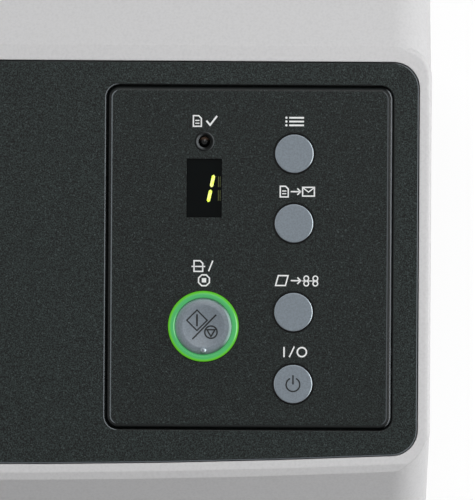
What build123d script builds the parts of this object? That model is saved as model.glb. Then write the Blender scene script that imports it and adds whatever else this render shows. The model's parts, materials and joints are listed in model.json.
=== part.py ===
from build123d import *

import os
from math import cos, hypot, pi, radians, sin, sqrt, tan

# A desktop sheet-fed document scanner for pages up to A3. Paper stands on the chute at the
# back, is picked one sheet at a time, runs down a straight slanted path past two scan
# units and drops on the stacker at the front. The front cover, which carries the dark face
# and its operating panel, swings forward on two pins to open the whole path.
# Sizes are in millimetres. X runs across the machine, +Y to the back, +Z up.
# The origin is on the desk, below the middle of the machine.

# Overall sizes
BODY_WIDTH = 460.0
BODY_DEPTH = 430.0
FOOT_HEIGHT = 6.0
FOOT_RADIUS = 10.0
FOOT_INSET = 30.0
FOOT_X = BODY_WIDTH / 2 - FOOT_INSET
FOOT_FRONT_Y = -180.0
FOOT_REAR_Y = BODY_DEPTH / 2 - FOOT_INSET
WALL = 2.5
PAN_SHEET = 1.5
PAN_FLANGE = 14.0
FRAME_SHEET = 2.0
SEAM = 1.2
FIT_GAP = 0.2
RUN_GAP = 0.05
SLIDE_GAP = 0.3
SOFT_EDGE = 10.0
SIDE_BREADTH = 50.0
SIDE_INNER_X = BODY_WIDTH / 2 - SIDE_BREADTH

# Paper path: a straight slope that starts at the exit lip
PATH_SLOPE = 45.0
EXIT_Y = -140.0
EXIT_Z = 74.0
EXIT_FLARE_S = 14.0
EXIT_MOUTH = 8.0
GUIDE_END_ROOM = 8.2
GUIDE_HALF_WIDTH = SIDE_INNER_X - GUIDE_END_ROOM
GUIDE_SHEET = 2.5
GUIDE_SINK = 1.0
GUIDE_LOW_S = 2.0
GUIDE_TOP_S = 248.0
FLARE_S = 197.0
BRAKE_ROOM = 6.0
ENTRY_Z = 254.0

# Front cover
FACE_TILT = 35.0
FACE_FOOT_Y = -178.0
FACE_FOOT_Z = 112.0
FACE_LENGTH = 114.4
COVER_TOP_PITCH = 27.0
COVER_REAR_Y = 10.0
CHIN_LEAN = 15.0
CHIN_BOTTOM_Z = 78.0
CHIN_WALL = 5.0
CREST_WALL = 5.5
LIP_FLAT = 100.0
LIP_BOW = 5.6
LIP_RADIUS = LIP_BOW * BODY_WIDTH
LIP_CHAMFER = 1.2
RIM_TOP_CORNER = 8.0
RIM_LOW_CORNER = 8.5
RIM_ROUND = 1.4
RIM_DEPTH = 12.0
RIB_SHEET = 3.0
RIB_SETBACK = 24.0

# Dark face insert and its recess
FACE_RIM = 3.4
FACE_HALF_WIDTH = BODY_WIDTH / 2 - FACE_RIM
FACE_LOW_V = 3.6
FACE_HIGH_V = 110.1
FACE_CORNER = 6.8
FACE_THICK = 3.0
FACE_EDGE = 0.35
FACE_SEAM = 0.2
LEDGE_WIDTH = 3.0
LIP_DROP = 6.0
LEDGE_THICK = 2.5

# Operating panel, placed in face coordinates: across, and up the slope
PANEL_INSET = 44.6
PANEL_X = FACE_HALF_WIDTH - PANEL_INSET
PANEL_V = 58.45
PANEL_WIDTH = 75.3
PANEL_HEIGHT = 90.4
PANEL_GROOVE = 0.3
PANEL_CORNER = 3.2
PANEL_ROUND = 1.4
PANEL_THICK = 2.5
PANEL_FLANGE = 3.0
PANEL_SKIRT = 2.0
POST_RADIUS = 2.6
POST_INSET = 6.0
LEFT_COLUMN_OFF = 12.0
RIGHT_COLUMN_OFF = 11.75
LEFT_COLUMN_X = PANEL_X - LEFT_COLUMN_OFF
RIGHT_COLUMN_X = PANEL_X + RIGHT_COLUMN_OFF
FUNCTION_V = 85.9
SEND_V = 67.5
MANUAL_V = 44.1
POWER_V = 25.1
SCAN_V = 40.2
LAMP_V = 89.0
DISPLAY_V = 76.7
KEY_DIAMETER = 10.15
KEY_GAP = 0.45
RING_GAP = 0.25
KEY_PROUD = 0.7
KEY_EDGE = 0.35
KEY_TRAVEL = 0.8
KEY_FLANGE = 1.0
KEY_STEM_RADIUS = 1.5
SCAN_KEY_DIAMETER = 15.0
SCAN_KEY_PROUD = 0.9
RING_DIAMETER = 18.5
RING_PROUD = 1.3
RING_FLANGE = 1.2
DISH_DIAMETER = 11.1
DISH_DEPTH = 1.1
DISH_RIDGE = 0.8
CROWN_DROP = 0.7
PIP_RADIUS = 0.85
PIP_REACH = 6.3
PIP_RISE = 0.7
LAMP_RADIUS = 1.5
LAMP_CONE_RADIUS = 2.6
LAMP_CONE_DEPTH = 1.0
WINDOW_WIDTH = 9.1
WINDOW_HEIGHT = 15.3
WINDOW_SINK = 0.9
WINDOW_SEAM = 0.1
DISPLAY_MARGIN = 1.7
BOARD_DEPTH = 12.0
BOARD_THICK = 1.6
SWITCH_SIDE = 6.0
SWITCH_HEIGHT = 4.5
SWITCH_GAP = 0.1

# Rollers, as distances s up the path
EJECT_S = 26.0
FEED_S = 158.0
PICK_S = 190.0
DRIVE_RADIUS = 12.0
PICK_RADIUS = 15.0
IDLER_RADIUS = 7.0
BRAKE_RADIUS = 11.0
NIP_GAP = 0.2
SHAFT_RADIUS = 4.0
AXLE_RADIUS = 2.0
TYRE_THICK = 4.0
TYRE_LENGTH = 20.0
TYRE_REACH = 55.0
PICK_LENGTH = 24.0
PICK_REACH = 25.0
ROLLER_ROOM = 1.0
BUSH_RADIUS = 6.5
BUSH_FLANGE = 1.5
BUSH_FLANGE_RADIUS = 8.5
BUSH_LENGTH = 5.0

# Belt drive, outside the right frame plate
BELT_PITCH = 2.032
FEED_TEETH = 20
PICK_TEETH = 28
MOTOR_TEETH = 16
BELT_THICK = 1.2
BELT_WIDTH = 6.0
BELT_GAP = 0.15
PULLEY_OUT = 10.8
PULLEY_CORE = 7.2
PULLEY_FLANGE = 0.9
PULLEY_RISE = 1.6
MOTOR_Y = -5.0
MOTOR_Z = 100.0
MOTOR_SIDE = 42.0
MOTOR_LENGTH = 38.0
MOTOR_SHAFT_RADIUS = 2.5
MOTOR_BORE = 22.0

# Scan units
REAR_SCAN_S = 78.0
FRONT_SCAN_S = 124.0
SCAN_BREADTH = 36.0
SCAN_HEIGHT = 28.0
SCAN_NECK_BREADTH = 30.0
SCAN_NECK_INSET = 13.8
SCAN_NECK_HALF_LENGTH = GUIDE_HALF_WIDTH - SCAN_NECK_INSET
GLASS_BREADTH = 24.0
GLASS_INSET = 3.0
GLASS_HALF_LENGTH = SCAN_NECK_HALF_LENGTH - GLASS_INSET
GLASS_THICK = 2.0
SENSOR_BREADTH = 12.0
SENSOR_HEIGHT = 14.0
SCAN_CAVITY = 20.0

# Cover hinge and latch
HINGE_Y = -160.0
HINGE_Z = 84.0
HINGE_PIN_RADIUS = 2.0
EAR_RADIUS = 4.5
EAR_THICK = 4.0
EAR_SWING_ROOM = 2.2
EAR_ROOT_Y = -130.0
EAR_ROOT_Z = 64.0
LATCH_S = 215.0
LATCH_H = 30.0
LATCH_ROD_RADIUS = 3.5
LATCH_PLAY = 0.5
LATCH_SWING = 10.0
LATCH_NOSE = 4.5
LATCH_ARM_BREADTH = 6.0
HOOK_OUT = 26.0
HOOK_X = SIDE_INNER_X + HOOK_OUT
HOOK_SHEET = 4.0
STRIKER_S = 208.5
STRIKER_DEPTH = 10.0
STRIKER_RADIUS = 2.5
STRIKER_REACH = 6.0
STRIKER_END_X = HOOK_X + STRIKER_REACH
PADDLE_HALF_WIDTH = 30.0
PADDLE_FRONT_Y = -36.0
PADDLE_REAR_Y = -3.0
PADDLE_THICK = 3.0

# Side frames and base
FRAME_INSET = 3.8
FRAME_X = SIDE_INNER_X - FRAME_INSET
FRAME_FRONT_Y = -118.0
FRAME_REAR_INSET = 4.7
FRAME_REAR_Y = BODY_DEPTH / 2 - FRAME_REAR_INSET
FRAME_FLANGE = 18.0
BASE_FRONT_Y = -211.0
BASE_CORNER = 8.0
APRON_Y = -138.0
DECK_Z = 246.0
DECK_FRONT_Y = 52.0
SHOULDER_CREST_Y = 90.0
SHOULDER_CREST_Z = 279.0
SHOULDER_REAR_Z = 258.0
REAR_INSET = 2.0
WINDOW_FRONT_Y = -125.0
WINDOW_TOP_Z = 236.0
FLOOR_TOP_Z = 24.0
FLOOR_BACK_Y = -126.0
RISER_TOP_Z = 71.0

# Stacker
TRAY_INSET = 30.0
TRAY_HALF_WIDTH = SIDE_INNER_X - TRAY_INSET
TRAY_BOTTOM_Z = 14.5
TRAY_THICK = 6.5
TRAY_SKIN = 1.6
TRAY_LENGTH = 150.0
TRAY_FRONT_THICK = 2.0
TRAY_FRONT_LOW_Z = 12.5
TRAY_FRONT_HIGH_Z = 23.0
RAIL_SHEET = 2.6
RAIL_LIP = 4.0
LEAF_INSET = 50.0
LEAF_HALF_WIDTH = TRAY_HALF_WIDTH - LEAF_INSET
LEAF_THICK = 2.3
LEAF_LENGTH = 138.0
LEAF_FRONT_Y = -213.3
LEAF_GRIP_HALF_WIDTH = 40.0
LEAF_GRIP_THICK = 1.7
STOP_HALF_WIDTH = 45.0
STOP_HEIGHT = 33.0
STOP_HINGE_Y = -206.0
STOP_PIN_RADIUS = 0.8

# Paper chute
CHUTE_SLOPE = 42.0
CHUTE_Y = 50.0
CHUTE_Z = 258.0
CHUTE_INSET = 6.0
CHUTE_HALF_WIDTH = SIDE_INNER_X - CHUTE_INSET
CHUTE_TOE = 14.0
CHUTE_LENGTH = 165.0
CHUTE_FACE = 4.0
CHUTE_DROP = 6.0
CHUTE_SHEET = 2.5
CHUTE_RAIL = 4.0
CHUTE_PIN_RADIUS = 3.0
CHUTE_PIN_GRIP = 2.2
CHUTE_PIN_REACH = SIDE_INNER_X + CHUTE_PIN_GRIP
FENCE_X = 105.0
FENCE_LOW_S = 8.0
FENCE_LENGTH = 92.0
FENCE_HEIGHT = 22.0
FENCE_SHEET = 4.0
FENCE_CORNER = 7.0
FENCE_FOOT = 20.0
FENCE_FOOT_THICK = 2.2
RACK_S = 45.0
SLOT_WIDTH = 8.4
SLOT_INNER_X = 38.0
SLOT_INSET = 10.0
SLOT_OUTER_X = CHUTE_HALF_WIDTH - SLOT_INSET
PINION_TEETH = 12
PINION_MODULE = 1.5
PINION_BORE = 2.5
TOOTH_TIP = 1.2
TOOTH_ROOT = 1.5
TOOTH_TIP_WIDTH = 1.0
TOOTH_ROOT_WIDTH = 2.1
RACK_THICK = 2.2
RACK_BACK = 3.0
RACK_REACH = 52.0
NECK_WIDTH = 8.0
SLIDE_HALF_WIDTH = 60.0
SLIDE_THICK = 2.2
SLIDE_LOW_S = 68.0
SLIDE_GRIP = 4.5
SLIDE_GRIP_RISE = 7.0

# Electrics
ELECTRIC_INSET = 26.2
SUPPLY_WIDTH = 130.0
SUPPLY_DEPTH = 160.0
SUPPLY_HEIGHT = 48.0
SUPPLY_X = SUPPLY_WIDTH / 2 + ELECTRIC_INSET - FRAME_X
SUPPLY_REAR_ROOM = 25.3
SUPPLY_Y = FRAME_REAR_Y - SUPPLY_DEPTH / 2 - SUPPLY_REAR_ROOM
CONTROL_WIDTH = 140.0
CONTROL_DEPTH = 198.0
CONTROL_X = FRAME_X - CONTROL_WIDTH / 2 - ELECTRIC_INSET
CONTROL_REAR_ROOM = 11.3
CONTROL_Y = FRAME_REAR_Y - CONTROL_DEPTH / 2 - CONTROL_REAR_ROOM
CONTROL_STANDOFF = 6.0
HEATSINK_SIDE = 32.0
HEATSINK_HEIGHT = 9.0
CHIP_SIDE = 20.0
CHIP_HEIGHT = 3.0
HEADER_LENGTH = 40.0
HEADER_DEPTH = 6.0
HEADER_HEIGHT = 8.0
CAPACITOR_RADIUS = 6.0
CAPACITOR_HEIGHT = 18.0
INLET_OFF = 35.0
INLET_X = SUPPLY_X - INLET_OFF
INLET_Z = 42.0
INLET_WIDTH = 27.0
INLET_HEIGHT = 20.0
INLET_DEPTH = 22.0
DATA_OFF = 20.0
DATA_X = CONTROL_X + DATA_OFF
DATA_WIDTH = 12.0
DATA_HEIGHT = 11.0
DATA_DEPTH = 16.0
SOCKET_WALL = 1.5
VENT_LENGTH = 60.0
VENT_HEIGHT = 3.0
VENT_PITCH = 8.0
VENT_ROWS = 8
VENT_Z = 150.0
SCREW_HEAD_RADIUS = 3.0
SCREW_HEAD = 1.8
SCREW_RADIUS = 1.45
SCREW_LENGTH = 8.0
SCREW_HEIGHTS = (30.0, 125.0, 225.0)

# Sizes that follow from those above
HALF_WIDTH = BODY_WIDTH / 2
HALF_DEPTH = BODY_DEPTH / 2
INNER_HALF_WIDTH = HALF_WIDTH - WALL
PAN_TOP_Z = FOOT_HEIGHT + PAN_SHEET
SKIRT_Z = PAN_TOP_Z + FIT_GAP
PITCH_RADIUS = PINION_MODULE * PINION_TEETH / 2
RACK_PITCH = pi * PINION_MODULE
FEED_PULLEY = FEED_TEETH * BELT_PITCH / (2 * pi)
PICK_PULLEY = PICK_TEETH * BELT_PITCH / (2 * pi)
MOTOR_PULLEY = MOTOR_TEETH * BELT_PITCH / (2 * pi)
BASE_HALF_WIDTH = SIDE_INNER_X - FIT_GAP
PULLEY_X = FRAME_X + PULLEY_OUT
REAR_FACE_Y = HALF_DEPTH - REAR_INSET
APRON_SEAM_Y = APRON_Y + SEAM
CONTROL_TOP_Z = PAN_TOP_Z + CONTROL_STANDOFF + BOARD_THICK
DATA_Z = CONTROL_TOP_Z + DATA_HEIGHT / 2
SWITCH_TOP = SWITCH_HEIGHT - BOARD_DEPTH
STEM_END = SWITCH_TOP + KEY_TRAVEL + SWITCH_GAP
KEY_SEAT = -PANEL_THICK - FIT_GAP
RING_SEAT = -PANEL_THICK - RING_FLANGE
TRAY_TOP_Z = TRAY_BOTTOM_Z + TRAY_THICK
LEAF_LOW_Z = TRAY_BOTTOM_Z + TRAY_SKIN + SLIDE_GAP
LEAF_HIGH_Z = LEAF_LOW_Z + LEAF_THICK
STOP_HINGE_Z = (LEAF_LOW_Z + LEAF_HIGH_Z) / 2
SHEET_LOW = CHUTE_FACE - CHUTE_SHEET
RACK_HIGH = SHEET_LOW - SLIDE_GAP
RACK_LOW = RACK_HIGH - RACK_THICK
BOTH_SIDES = (-1, 1)

sin_face = sin(radians(FACE_TILT))
cos_face = cos(radians(FACE_TILT))
sin_path = sin(radians(PATH_SLOPE))
cos_path = cos(radians(PATH_SLOPE))
sin_chute = sin(radians(CHUTE_SLOPE))
cos_chute = cos(radians(CHUTE_SLOPE))

# Local planes: x across the machine, y up the slope, z outwards
FACE = Plane(origin=(0, FACE_FOOT_Y, FACE_FOOT_Z), x_dir=(1, 0, 0), z_dir=(0, -cos_face, sin_face))
PATH = Plane(origin=(0, EXIT_Y, EXIT_Z), x_dir=(1, 0, 0), z_dir=(0, -sin_path, cos_path))
CHUTE = Plane(origin=(0, CHUTE_Y, CHUTE_Z), x_dir=(1, 0, 0), z_dir=(0, -sin_chute, cos_chute))
FACE_OUT = Axis((0, FACE_FOOT_Y, FACE_FOOT_Z), (0, -cos_face, sin_face))
CHIN_DOWN = (0, sin(radians(CHIN_LEAN)), -cos(radians(CHIN_LEAN)))


def face_point(v, depth=0.0):
    """(Y, Z) of a place v up the dark face and depth behind it."""
    y = FACE_FOOT_Y + v * sin_face + depth * cos_face
    z = FACE_FOOT_Z + v * cos_face - depth * sin_face
    return (y, z)


def path_point(s, h):
    """(Y, Z) of a place s up the paper path and h above it, towards the front cover."""
    y = EXIT_Y + s * cos_path - h * sin_path
    z = EXIT_Z + s * sin_path + h * cos_path
    return (y, z)


def split_point(y, h):
    """(Y, Z) at depth y on the line h above the paper path."""
    return (y, EXIT_Z + (y - EXIT_Y) * tan(radians(PATH_SLOPE)) + h / cos_path)


def cover_top_z(y, drop=0.0):
    """Height of the cover's top surface at depth y, or of the line drop below it."""
    crest_y, crest_z = face_point(FACE_LENGTH)
    pitch = radians(COVER_TOP_PITCH)
    return crest_z + (y - crest_y) * tan(pitch) - drop / cos(pitch)


def level_point(z, h):
    """(Y, Z) at height z on the line h above the paper path."""
    return (EXIT_Y + (z - EXIT_Z - h / cos_path) / tan(radians(PATH_SLOPE)), z)


def plate(x_low, x_high, points):
    """A straight slab between two X values whose outline is points in (Y, Z)."""
    with BuildSketch(Plane.YZ.offset(x_low)) as outline:
        with BuildLine():
            Polyline(*points, close=True)
        make_face()
    return extrude(outline.sketch, amount=x_high - x_low, mode=Mode.PRIVATE)


def rod(x_low, x_high, place, radius):
    """A round bar along X at a (Y, Z) place."""
    with BuildSketch(Plane.YZ.offset(x_low)) as section:
        with Locations(place):
            Circle(radius)
    return extrude(section.sketch, amount=x_high - x_low, mode=Mode.PRIVATE)


def slab(plane, x, y, z):
    """A box between (low, high) pairs in a plane's own coordinates."""
    with BuildSketch(plane.offset(z[0])) as outline:
        with Locations(((x[0] + x[1]) / 2, (y[0] + y[1]) / 2)):
            Rectangle(x[1] - x[0], y[1] - y[0])
    return extrude(outline.sketch, amount=z[1] - z[0], mode=Mode.PRIVATE)


def disc(plane, place, z, radius):
    """A cylinder on a plane's normal, between the two heights of z."""
    with BuildSketch(plane.offset(z[0])) as outline:
        with Locations(place):
            Circle(radius)
    return extrude(outline.sketch, amount=z[1] - z[0], mode=Mode.PRIVATE)


def lip_rise(half_width):
    """How far the curved lower lip has risen at a distance from the middle."""
    return LIP_RADIUS - sqrt(LIP_RADIUS**2 - (half_width - LIP_FLAT) ** 2)


def lip_outline(plane, half_width, low, high, low_corner=0.0, high_corner=0.0):
    """A face-shaped outline: straight sides and top, and a lower edge that rises at both ends."""
    end_v = low + lip_rise(half_width)
    with BuildSketch(plane) as outline:
        with BuildLine():
            Line((-LIP_FLAT, low), (LIP_FLAT, low))
            TangentArc((LIP_FLAT, low), (half_width, end_v), tangent=(1, 0))
            Polyline((half_width, end_v), (half_width, high), (-half_width, high), (-half_width, end_v))
            TangentArc((-LIP_FLAT, low), (-half_width, end_v), tangent=(-1, 0))
        make_face()
        if high_corner:
            fillet(outline.vertices().filter_by(lambda p: p.Y > high - 0.01), high_corner)
        if low_corner:
            fillet(outline.vertices().filter_by(lambda p: abs(p.Y - end_v) < 0.01), low_corner)
    return outline.sketch


def face_slab(inset, z):
    """The outline of the dark face, drawn in by inset on every side, between two heights."""
    corner = max(FACE_CORNER - inset, 1.0)
    outline = lip_outline(
        FACE.offset(z[0]),
        FACE_HALF_WIDTH - inset,
        FACE_LOW_V + inset,
        FACE_HIGH_V - inset,
        corner,
        corner,
    )
    return extrude(outline, amount=z[1] - z[0], mode=Mode.PRIVATE)


def panel_slab(inset, z):
    """The rectangle of the operating panel, drawn in by inset on every side."""
    with BuildSketch(FACE.offset(z[0])) as outline:
        with Locations((PANEL_X, PANEL_V)):
            RectangleRounded(PANEL_WIDTH - 2 * inset, PANEL_HEIGHT - 2 * inset, max(PANEL_CORNER - inset, 0.5))
    return extrude(outline.sketch, amount=z[1] - z[0], mode=Mode.PRIVATE)


def key_places():
    """The four round keys: their names and places on the face."""
    return {
        "function_button": (RIGHT_COLUMN_X, FUNCTION_V),
        "send_button": (RIGHT_COLUMN_X, SEND_V),
        "manual_button": (RIGHT_COLUMN_X, MANUAL_V),
        "power_button": (RIGHT_COLUMN_X, POWER_V),
    }


def drive_place(s, radius):
    """(Y, Z) of a driven roller's axis, below the path."""
    return path_point(s, -radius - NIP_GAP)


def idler_place(s, radius):
    """(Y, Z) of a free roller's axis, above the path."""
    return path_point(s, radius + NIP_GAP)


def save(piece, name):
    """Label a finished piece and write it out."""
    piece.label = name
    export_step(piece, f"parts/{name}.step")


# The front cover unit


def under_lip():
    """What the chin leaves away: everything in front of the curved lip, swept down and back."""
    reach = HALF_WIDTH + WALL
    rise = lip_rise(reach)
    with BuildSketch(FACE) as outline:
        with BuildLine():
            Line((-LIP_FLAT, 0), (LIP_FLAT, 0))
            TangentArc((LIP_FLAT, 0), (reach, rise), tangent=(1, 0))
            Polyline((reach, rise), (reach, -CHIN_BOTTOM_Z), (-reach, -CHIN_BOTTOM_Z), (-reach, rise))
            TangentArc((-LIP_FLAT, 0), (-reach, rise), tangent=(-1, 0))
        make_face()
    return extrude(outline.sketch, amount=CHIN_BOTTOM_Z, dir=CHIN_DOWN, mode=Mode.PRIVATE)


def side_trim():
    """A long block whose rounded front corners trim both sides of the face."""
    reach = 2 * BODY_DEPTH
    across = Plane(origin=FACE.origin, x_dir=(1, 0, 0), z_dir=(0, sin_face, cos_face))
    with BuildSketch(across.offset(-BODY_DEPTH)) as section:
        with Locations((0, reach / 2)):
            Rectangle(BODY_WIDTH, reach)
        fillet(section.vertices().filter_by(lambda p: p.Y < 1), RIM_ROUND)
    return extrude(section.sketch, amount=reach, mode=Mode.PRIVATE)


def cover_rim():
    """The rim that frames the dark face, with its own rounded corners."""
    with BuildPart() as rim:
        outline = lip_outline(
            FACE.offset(-RIM_DEPTH), HALF_WIDTH, LIP_CHAMFER, FACE_LENGTH, RIM_LOW_CORNER, RIM_TOP_CORNER
        )
        extrude(outline, amount=RIM_DEPTH)
        fillet(rim.faces().sort_by(FACE_OUT)[-1].edges(), RIM_ROUND)
    return rim.part


def cover_body():
    """The outside of the cover before it is hollowed."""
    outside = [
        face_point(-LIP_DROP),
        face_point(FACE_LENGTH),
        (COVER_REAR_Y, cover_top_z(COVER_REAR_Y)),
        split_point(COVER_REAR_Y, SEAM),
        path_point(EXIT_FLARE_S, SEAM),
        level_point(CHIN_BOTTOM_Z, EXIT_MOUTH),
        (face_point(-LIP_DROP)[0], CHIN_BOTTOM_Z),
    ]
    with BuildPart() as body:
        add(plate(-HALF_WIDTH, HALF_WIDTH, outside))
        add(under_lip(), mode=Mode.SUBTRACT)
        fold = body.edges().filter_by(
            lambda e: abs(FACE.to_local_coords(e.center()).Z) < 0.01
            and abs(FACE.to_local_coords(e.center()).Y) < LIP_DROP
            and e.length > LIP_FLAT
        )
        chamfer(fold, LIP_CHAMFER)
        top_sides = body.edges().filter_by(
            lambda e: abs(abs(e.center().X) - HALF_WIDTH) < 0.01
            and e.center().Z > face_point(FACE_LENGTH)[1]
            and e.center().Y < COVER_REAR_Y - 1
        )
        fillet(top_sides, SOFT_EDGE)
        chin_sides = body.edges().filter_by(
            lambda e: abs(abs(e.center().X) - HALF_WIDTH) < 0.01
            and CHIN_BOTTOM_Z + 1 < e.center().Z < FACE_FOOT_Z
            and e.center().Y < HINGE_Y
            and e.length > SOFT_EDGE
        )
        fillet(chin_sides, SOFT_EDGE)
        add(side_trim(), mode=Mode.INTERSECT)
        add(cover_rim())
    return body.part


def cover_hollow():
    """The room inside the cover, open towards the paper path."""
    depth = FACE_THICK + LEDGE_THICK
    crest = FACE_LENGTH - CREST_WALL
    floor_z = CHIN_BOTTOM_Z + WALL
    chin_y = FACE_FOOT_Y + (FACE_FOOT_Z - floor_z) * tan(radians(CHIN_LEAN)) + CHIN_WALL
    lip_y = FACE_FOOT_Y + CHIN_WALL / cos(radians(CHIN_LEAN)) + RIM_ROUND
    roof_y = face_point(crest, depth)[0] + WALL
    rear_y = COVER_REAR_Y - WALL
    with BuildPart() as hollow:
        points = [
            (lip_y, FACE_FOOT_Z),
            face_point(LIP_DROP + WALL, depth),
            face_point(crest, depth),
            (roof_y, cover_top_z(roof_y, WALL)),
            (rear_y, cover_top_z(rear_y, WALL)),
            split_point(rear_y, -SEAM),
            path_point(EXIT_FLARE_S + WALL, -SEAM),
            path_point(EXIT_FLARE_S + WALL, SEAM + WALL),
            level_point(floor_z, EXIT_MOUTH + WALL),
            (chin_y, floor_z),
        ]
        add(plate(-INNER_HALF_WIDTH, INNER_HALF_WIDTH, points))
        sides = hollow.edges().filter_by(
            lambda e: abs(abs(e.center().X) - INNER_HALF_WIDTH) < 0.01
            and (
                e.center().Z > face_point(FACE_LENGTH)[1] + SOFT_EDGE
                and e.center().Y < rear_y - 1
                or floor_z + 1 < e.center().Z < FACE_FOOT_Z
                and e.center().Y < HINGE_Y
            )
        )
        fillet(sides, SOFT_EDGE - WALL)
    return hollow.part


def cover_rib(side):
    """One of the two plates inside the cover that carry its rollers, scan unit and hinge."""
    front_y = face_point(FACE_LENGTH, RIB_SETBACK)[0]
    rear_y = COVER_REAR_Y - WALL / 2
    floor_z = CHIN_BOTTOM_Z + WALL / 2
    points = [
        (HINGE_Y - EAR_RADIUS, floor_z),
        (HINGE_Y - EAR_RADIUS, HINGE_Z + 2 * EAR_RADIUS),
        face_point(LIP_DROP, RIB_SETBACK),
        face_point(FACE_LENGTH, RIB_SETBACK),
        (front_y, cover_top_z(front_y, WALL / 2)),
        (rear_y, cover_top_z(rear_y, WALL / 2)),
        split_point(rear_y, SEAM),
        path_point(EXIT_FLARE_S, SEAM),
        level_point(floor_z, EXIT_MOUTH),
    ]
    inner = GUIDE_HALF_WIDTH + FIT_GAP
    return plate(*sorted((side * inner, side * (inner + RIB_SHEET))), points)


def front_cover():
    """The pale casing at the front: rim, top, chin, side walls and the two inner ribs."""
    ear_room = SLIDE_GAP + EAR_RADIUS
    with BuildPart() as cover:
        add(cover_body())
        add(cover_hollow(), mode=Mode.SUBTRACT)
        for side in BOTH_SIDES:
            add(cover_rib(side))
        add(face_slab(-FACE_SEAM, (-FACE_THICK, RIM_ROUND)), mode=Mode.SUBTRACT)
        add(face_slab(LEDGE_WIDTH, (-FACE_THICK - LEDGE_THICK - WALL, 0)), mode=Mode.SUBTRACT)
        mouth = [
            (COVER_REAR_Y - 2 * WALL, split_point(COVER_REAR_Y - 2 * WALL, 0)[1]),
            (COVER_REAR_Y - 2 * WALL, ENTRY_Z),
            (COVER_REAR_Y + 1, ENTRY_Z),
            (COVER_REAR_Y + 1, split_point(COVER_REAR_Y + 1, 0)[1]),
        ]
        add(plate(-GUIDE_HALF_WIDTH - FIT_GAP, GUIDE_HALF_WIDTH + FIT_GAP, mouth), mode=Mode.SUBTRACT)
        room = PADDLE_HALF_WIDTH + SLIDE_GAP
        paddle_room = [
            (PADDLE_FRONT_Y - 2 * SLIDE_GAP, cover_top_z(PADDLE_FRONT_Y, 3 * WALL)),
            (PADDLE_FRONT_Y - 2 * SLIDE_GAP, cover_top_z(PADDLE_FRONT_Y) + WALL),
            (PADDLE_REAR_Y + PADDLE_THICK, cover_top_z(PADDLE_REAR_Y) + 2 * WALL),
            (PADDLE_REAR_Y + PADDLE_THICK, cover_top_z(PADDLE_REAR_Y, 3 * WALL)),
        ]
        add(plate(-room, room, paddle_room), mode=Mode.SUBTRACT)
        reach = GUIDE_HALF_WIDTH + RIB_SHEET + WALL
        holes = (
            ((HINGE_Y, HINGE_Z), HINGE_PIN_RADIUS),
            (path_point(LATCH_S, LATCH_H), LATCH_ROD_RADIUS),
            (idler_place(EJECT_S, IDLER_RADIUS), AXLE_RADIUS),
            (idler_place(FEED_S, IDLER_RADIUS), AXLE_RADIUS),
            (idler_place(PICK_S, BRAKE_RADIUS), AXLE_RADIUS),
        )
        for place, radius in holes:
            add(rod(-reach, reach, place, radius + RUN_GAP), mode=Mode.SUBTRACT)
        notch = [
            (HINGE_Y - ear_room - EAR_SWING_ROOM, CHIN_BOTTOM_Z - 1),
            (HINGE_Y - ear_room - EAR_SWING_ROOM, HINGE_Z + ear_room),
            (HINGE_Y + ear_room, HINGE_Z + ear_room),
            (EAR_ROOT_Y, HINGE_Z + ear_room),
            (EAR_ROOT_Y, CHIN_BOTTOM_Z - 1),
        ]
        for side in BOTH_SIDES:
            edges = sorted((side * (SIDE_INNER_X - SLIDE_GAP), side * (SIDE_INNER_X + EAR_THICK + SLIDE_GAP)))
            add(plate(*edges, notch), mode=Mode.SUBTRACT)
    save(cover.part, "front_cover")


def face_panel():
    """The dark insert, with a window for the operating panel."""
    with BuildPart() as panel:
        add(face_slab(0, (-FACE_THICK, 0)))
        add(panel_slab(-PANEL_GROOVE, (-2 * FACE_THICK, FACE_THICK)), mode=Mode.SUBTRACT)
        fillet(panel.faces().sort_by(FACE_OUT)[-1].edges(), FACE_EDGE)
    save(panel.part, "face_panel")


def control_panel():
    """The island in the dark face, with holes for its keys, ring, lamp and display."""
    flange_low = -FACE_THICK - WALL / 2
    with BuildPart() as panel:
        add(panel_slab(0, (-PANEL_THICK, 0)))
        fillet(panel.faces().sort_by(FACE_OUT)[-1].edges(), PANEL_ROUND)
        add(panel_slab(0, (flange_low, -PANEL_ROUND - FIT_GAP)))
        add(panel_slab(-PANEL_FLANGE, (flange_low, -FACE_THICK)))
        add(panel_slab(PANEL_SKIRT, (flange_low - 1, -PANEL_THICK)), mode=Mode.SUBTRACT)
        for place in key_places().values():
            add(disc(FACE, place, (-2 * PANEL_THICK, 1), KEY_DIAMETER / 2 + KEY_GAP), mode=Mode.SUBTRACT)
        scan = (LEFT_COLUMN_X, SCAN_V)
        add(disc(FACE, scan, (-2 * PANEL_THICK, 1), RING_DIAMETER / 2 + WINDOW_SEAM), mode=Mode.SUBTRACT)
        with Locations(FACE * Location((LEFT_COLUMN_X, LAMP_V, -LAMP_CONE_DEPTH / 2))):
            Cone(LAMP_RADIUS + WINDOW_SEAM, LAMP_CONE_RADIUS, LAMP_CONE_DEPTH, mode=Mode.SUBTRACT)
        lamp = (LEFT_COLUMN_X, LAMP_V)
        add(disc(FACE, lamp, (-2 * PANEL_THICK, 0), LAMP_RADIUS + WINDOW_SEAM), mode=Mode.SUBTRACT)
        wide = WINDOW_WIDTH / 2 + WINDOW_SEAM
        tall = WINDOW_HEIGHT / 2 + WINDOW_SEAM
        window = slab(
            FACE,
            (LEFT_COLUMN_X - wide, LEFT_COLUMN_X + wide),
            (DISPLAY_V - tall, DISPLAY_V + tall),
            (-2 * PANEL_THICK, 1),
        )
        add(window, mode=Mode.SUBTRACT)
        for across in BOTH_SIDES:
            for up in BOTH_SIDES:
                post = (
                    PANEL_X + across * (PANEL_WIDTH / 2 - POST_INSET),
                    PANEL_V + up * (PANEL_HEIGHT / 2 - POST_INSET),
                )
                add(disc(FACE, post, (-BOARD_DEPTH, -PANEL_THICK), POST_RADIUS))
    save(panel.part, "control_panel")


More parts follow.
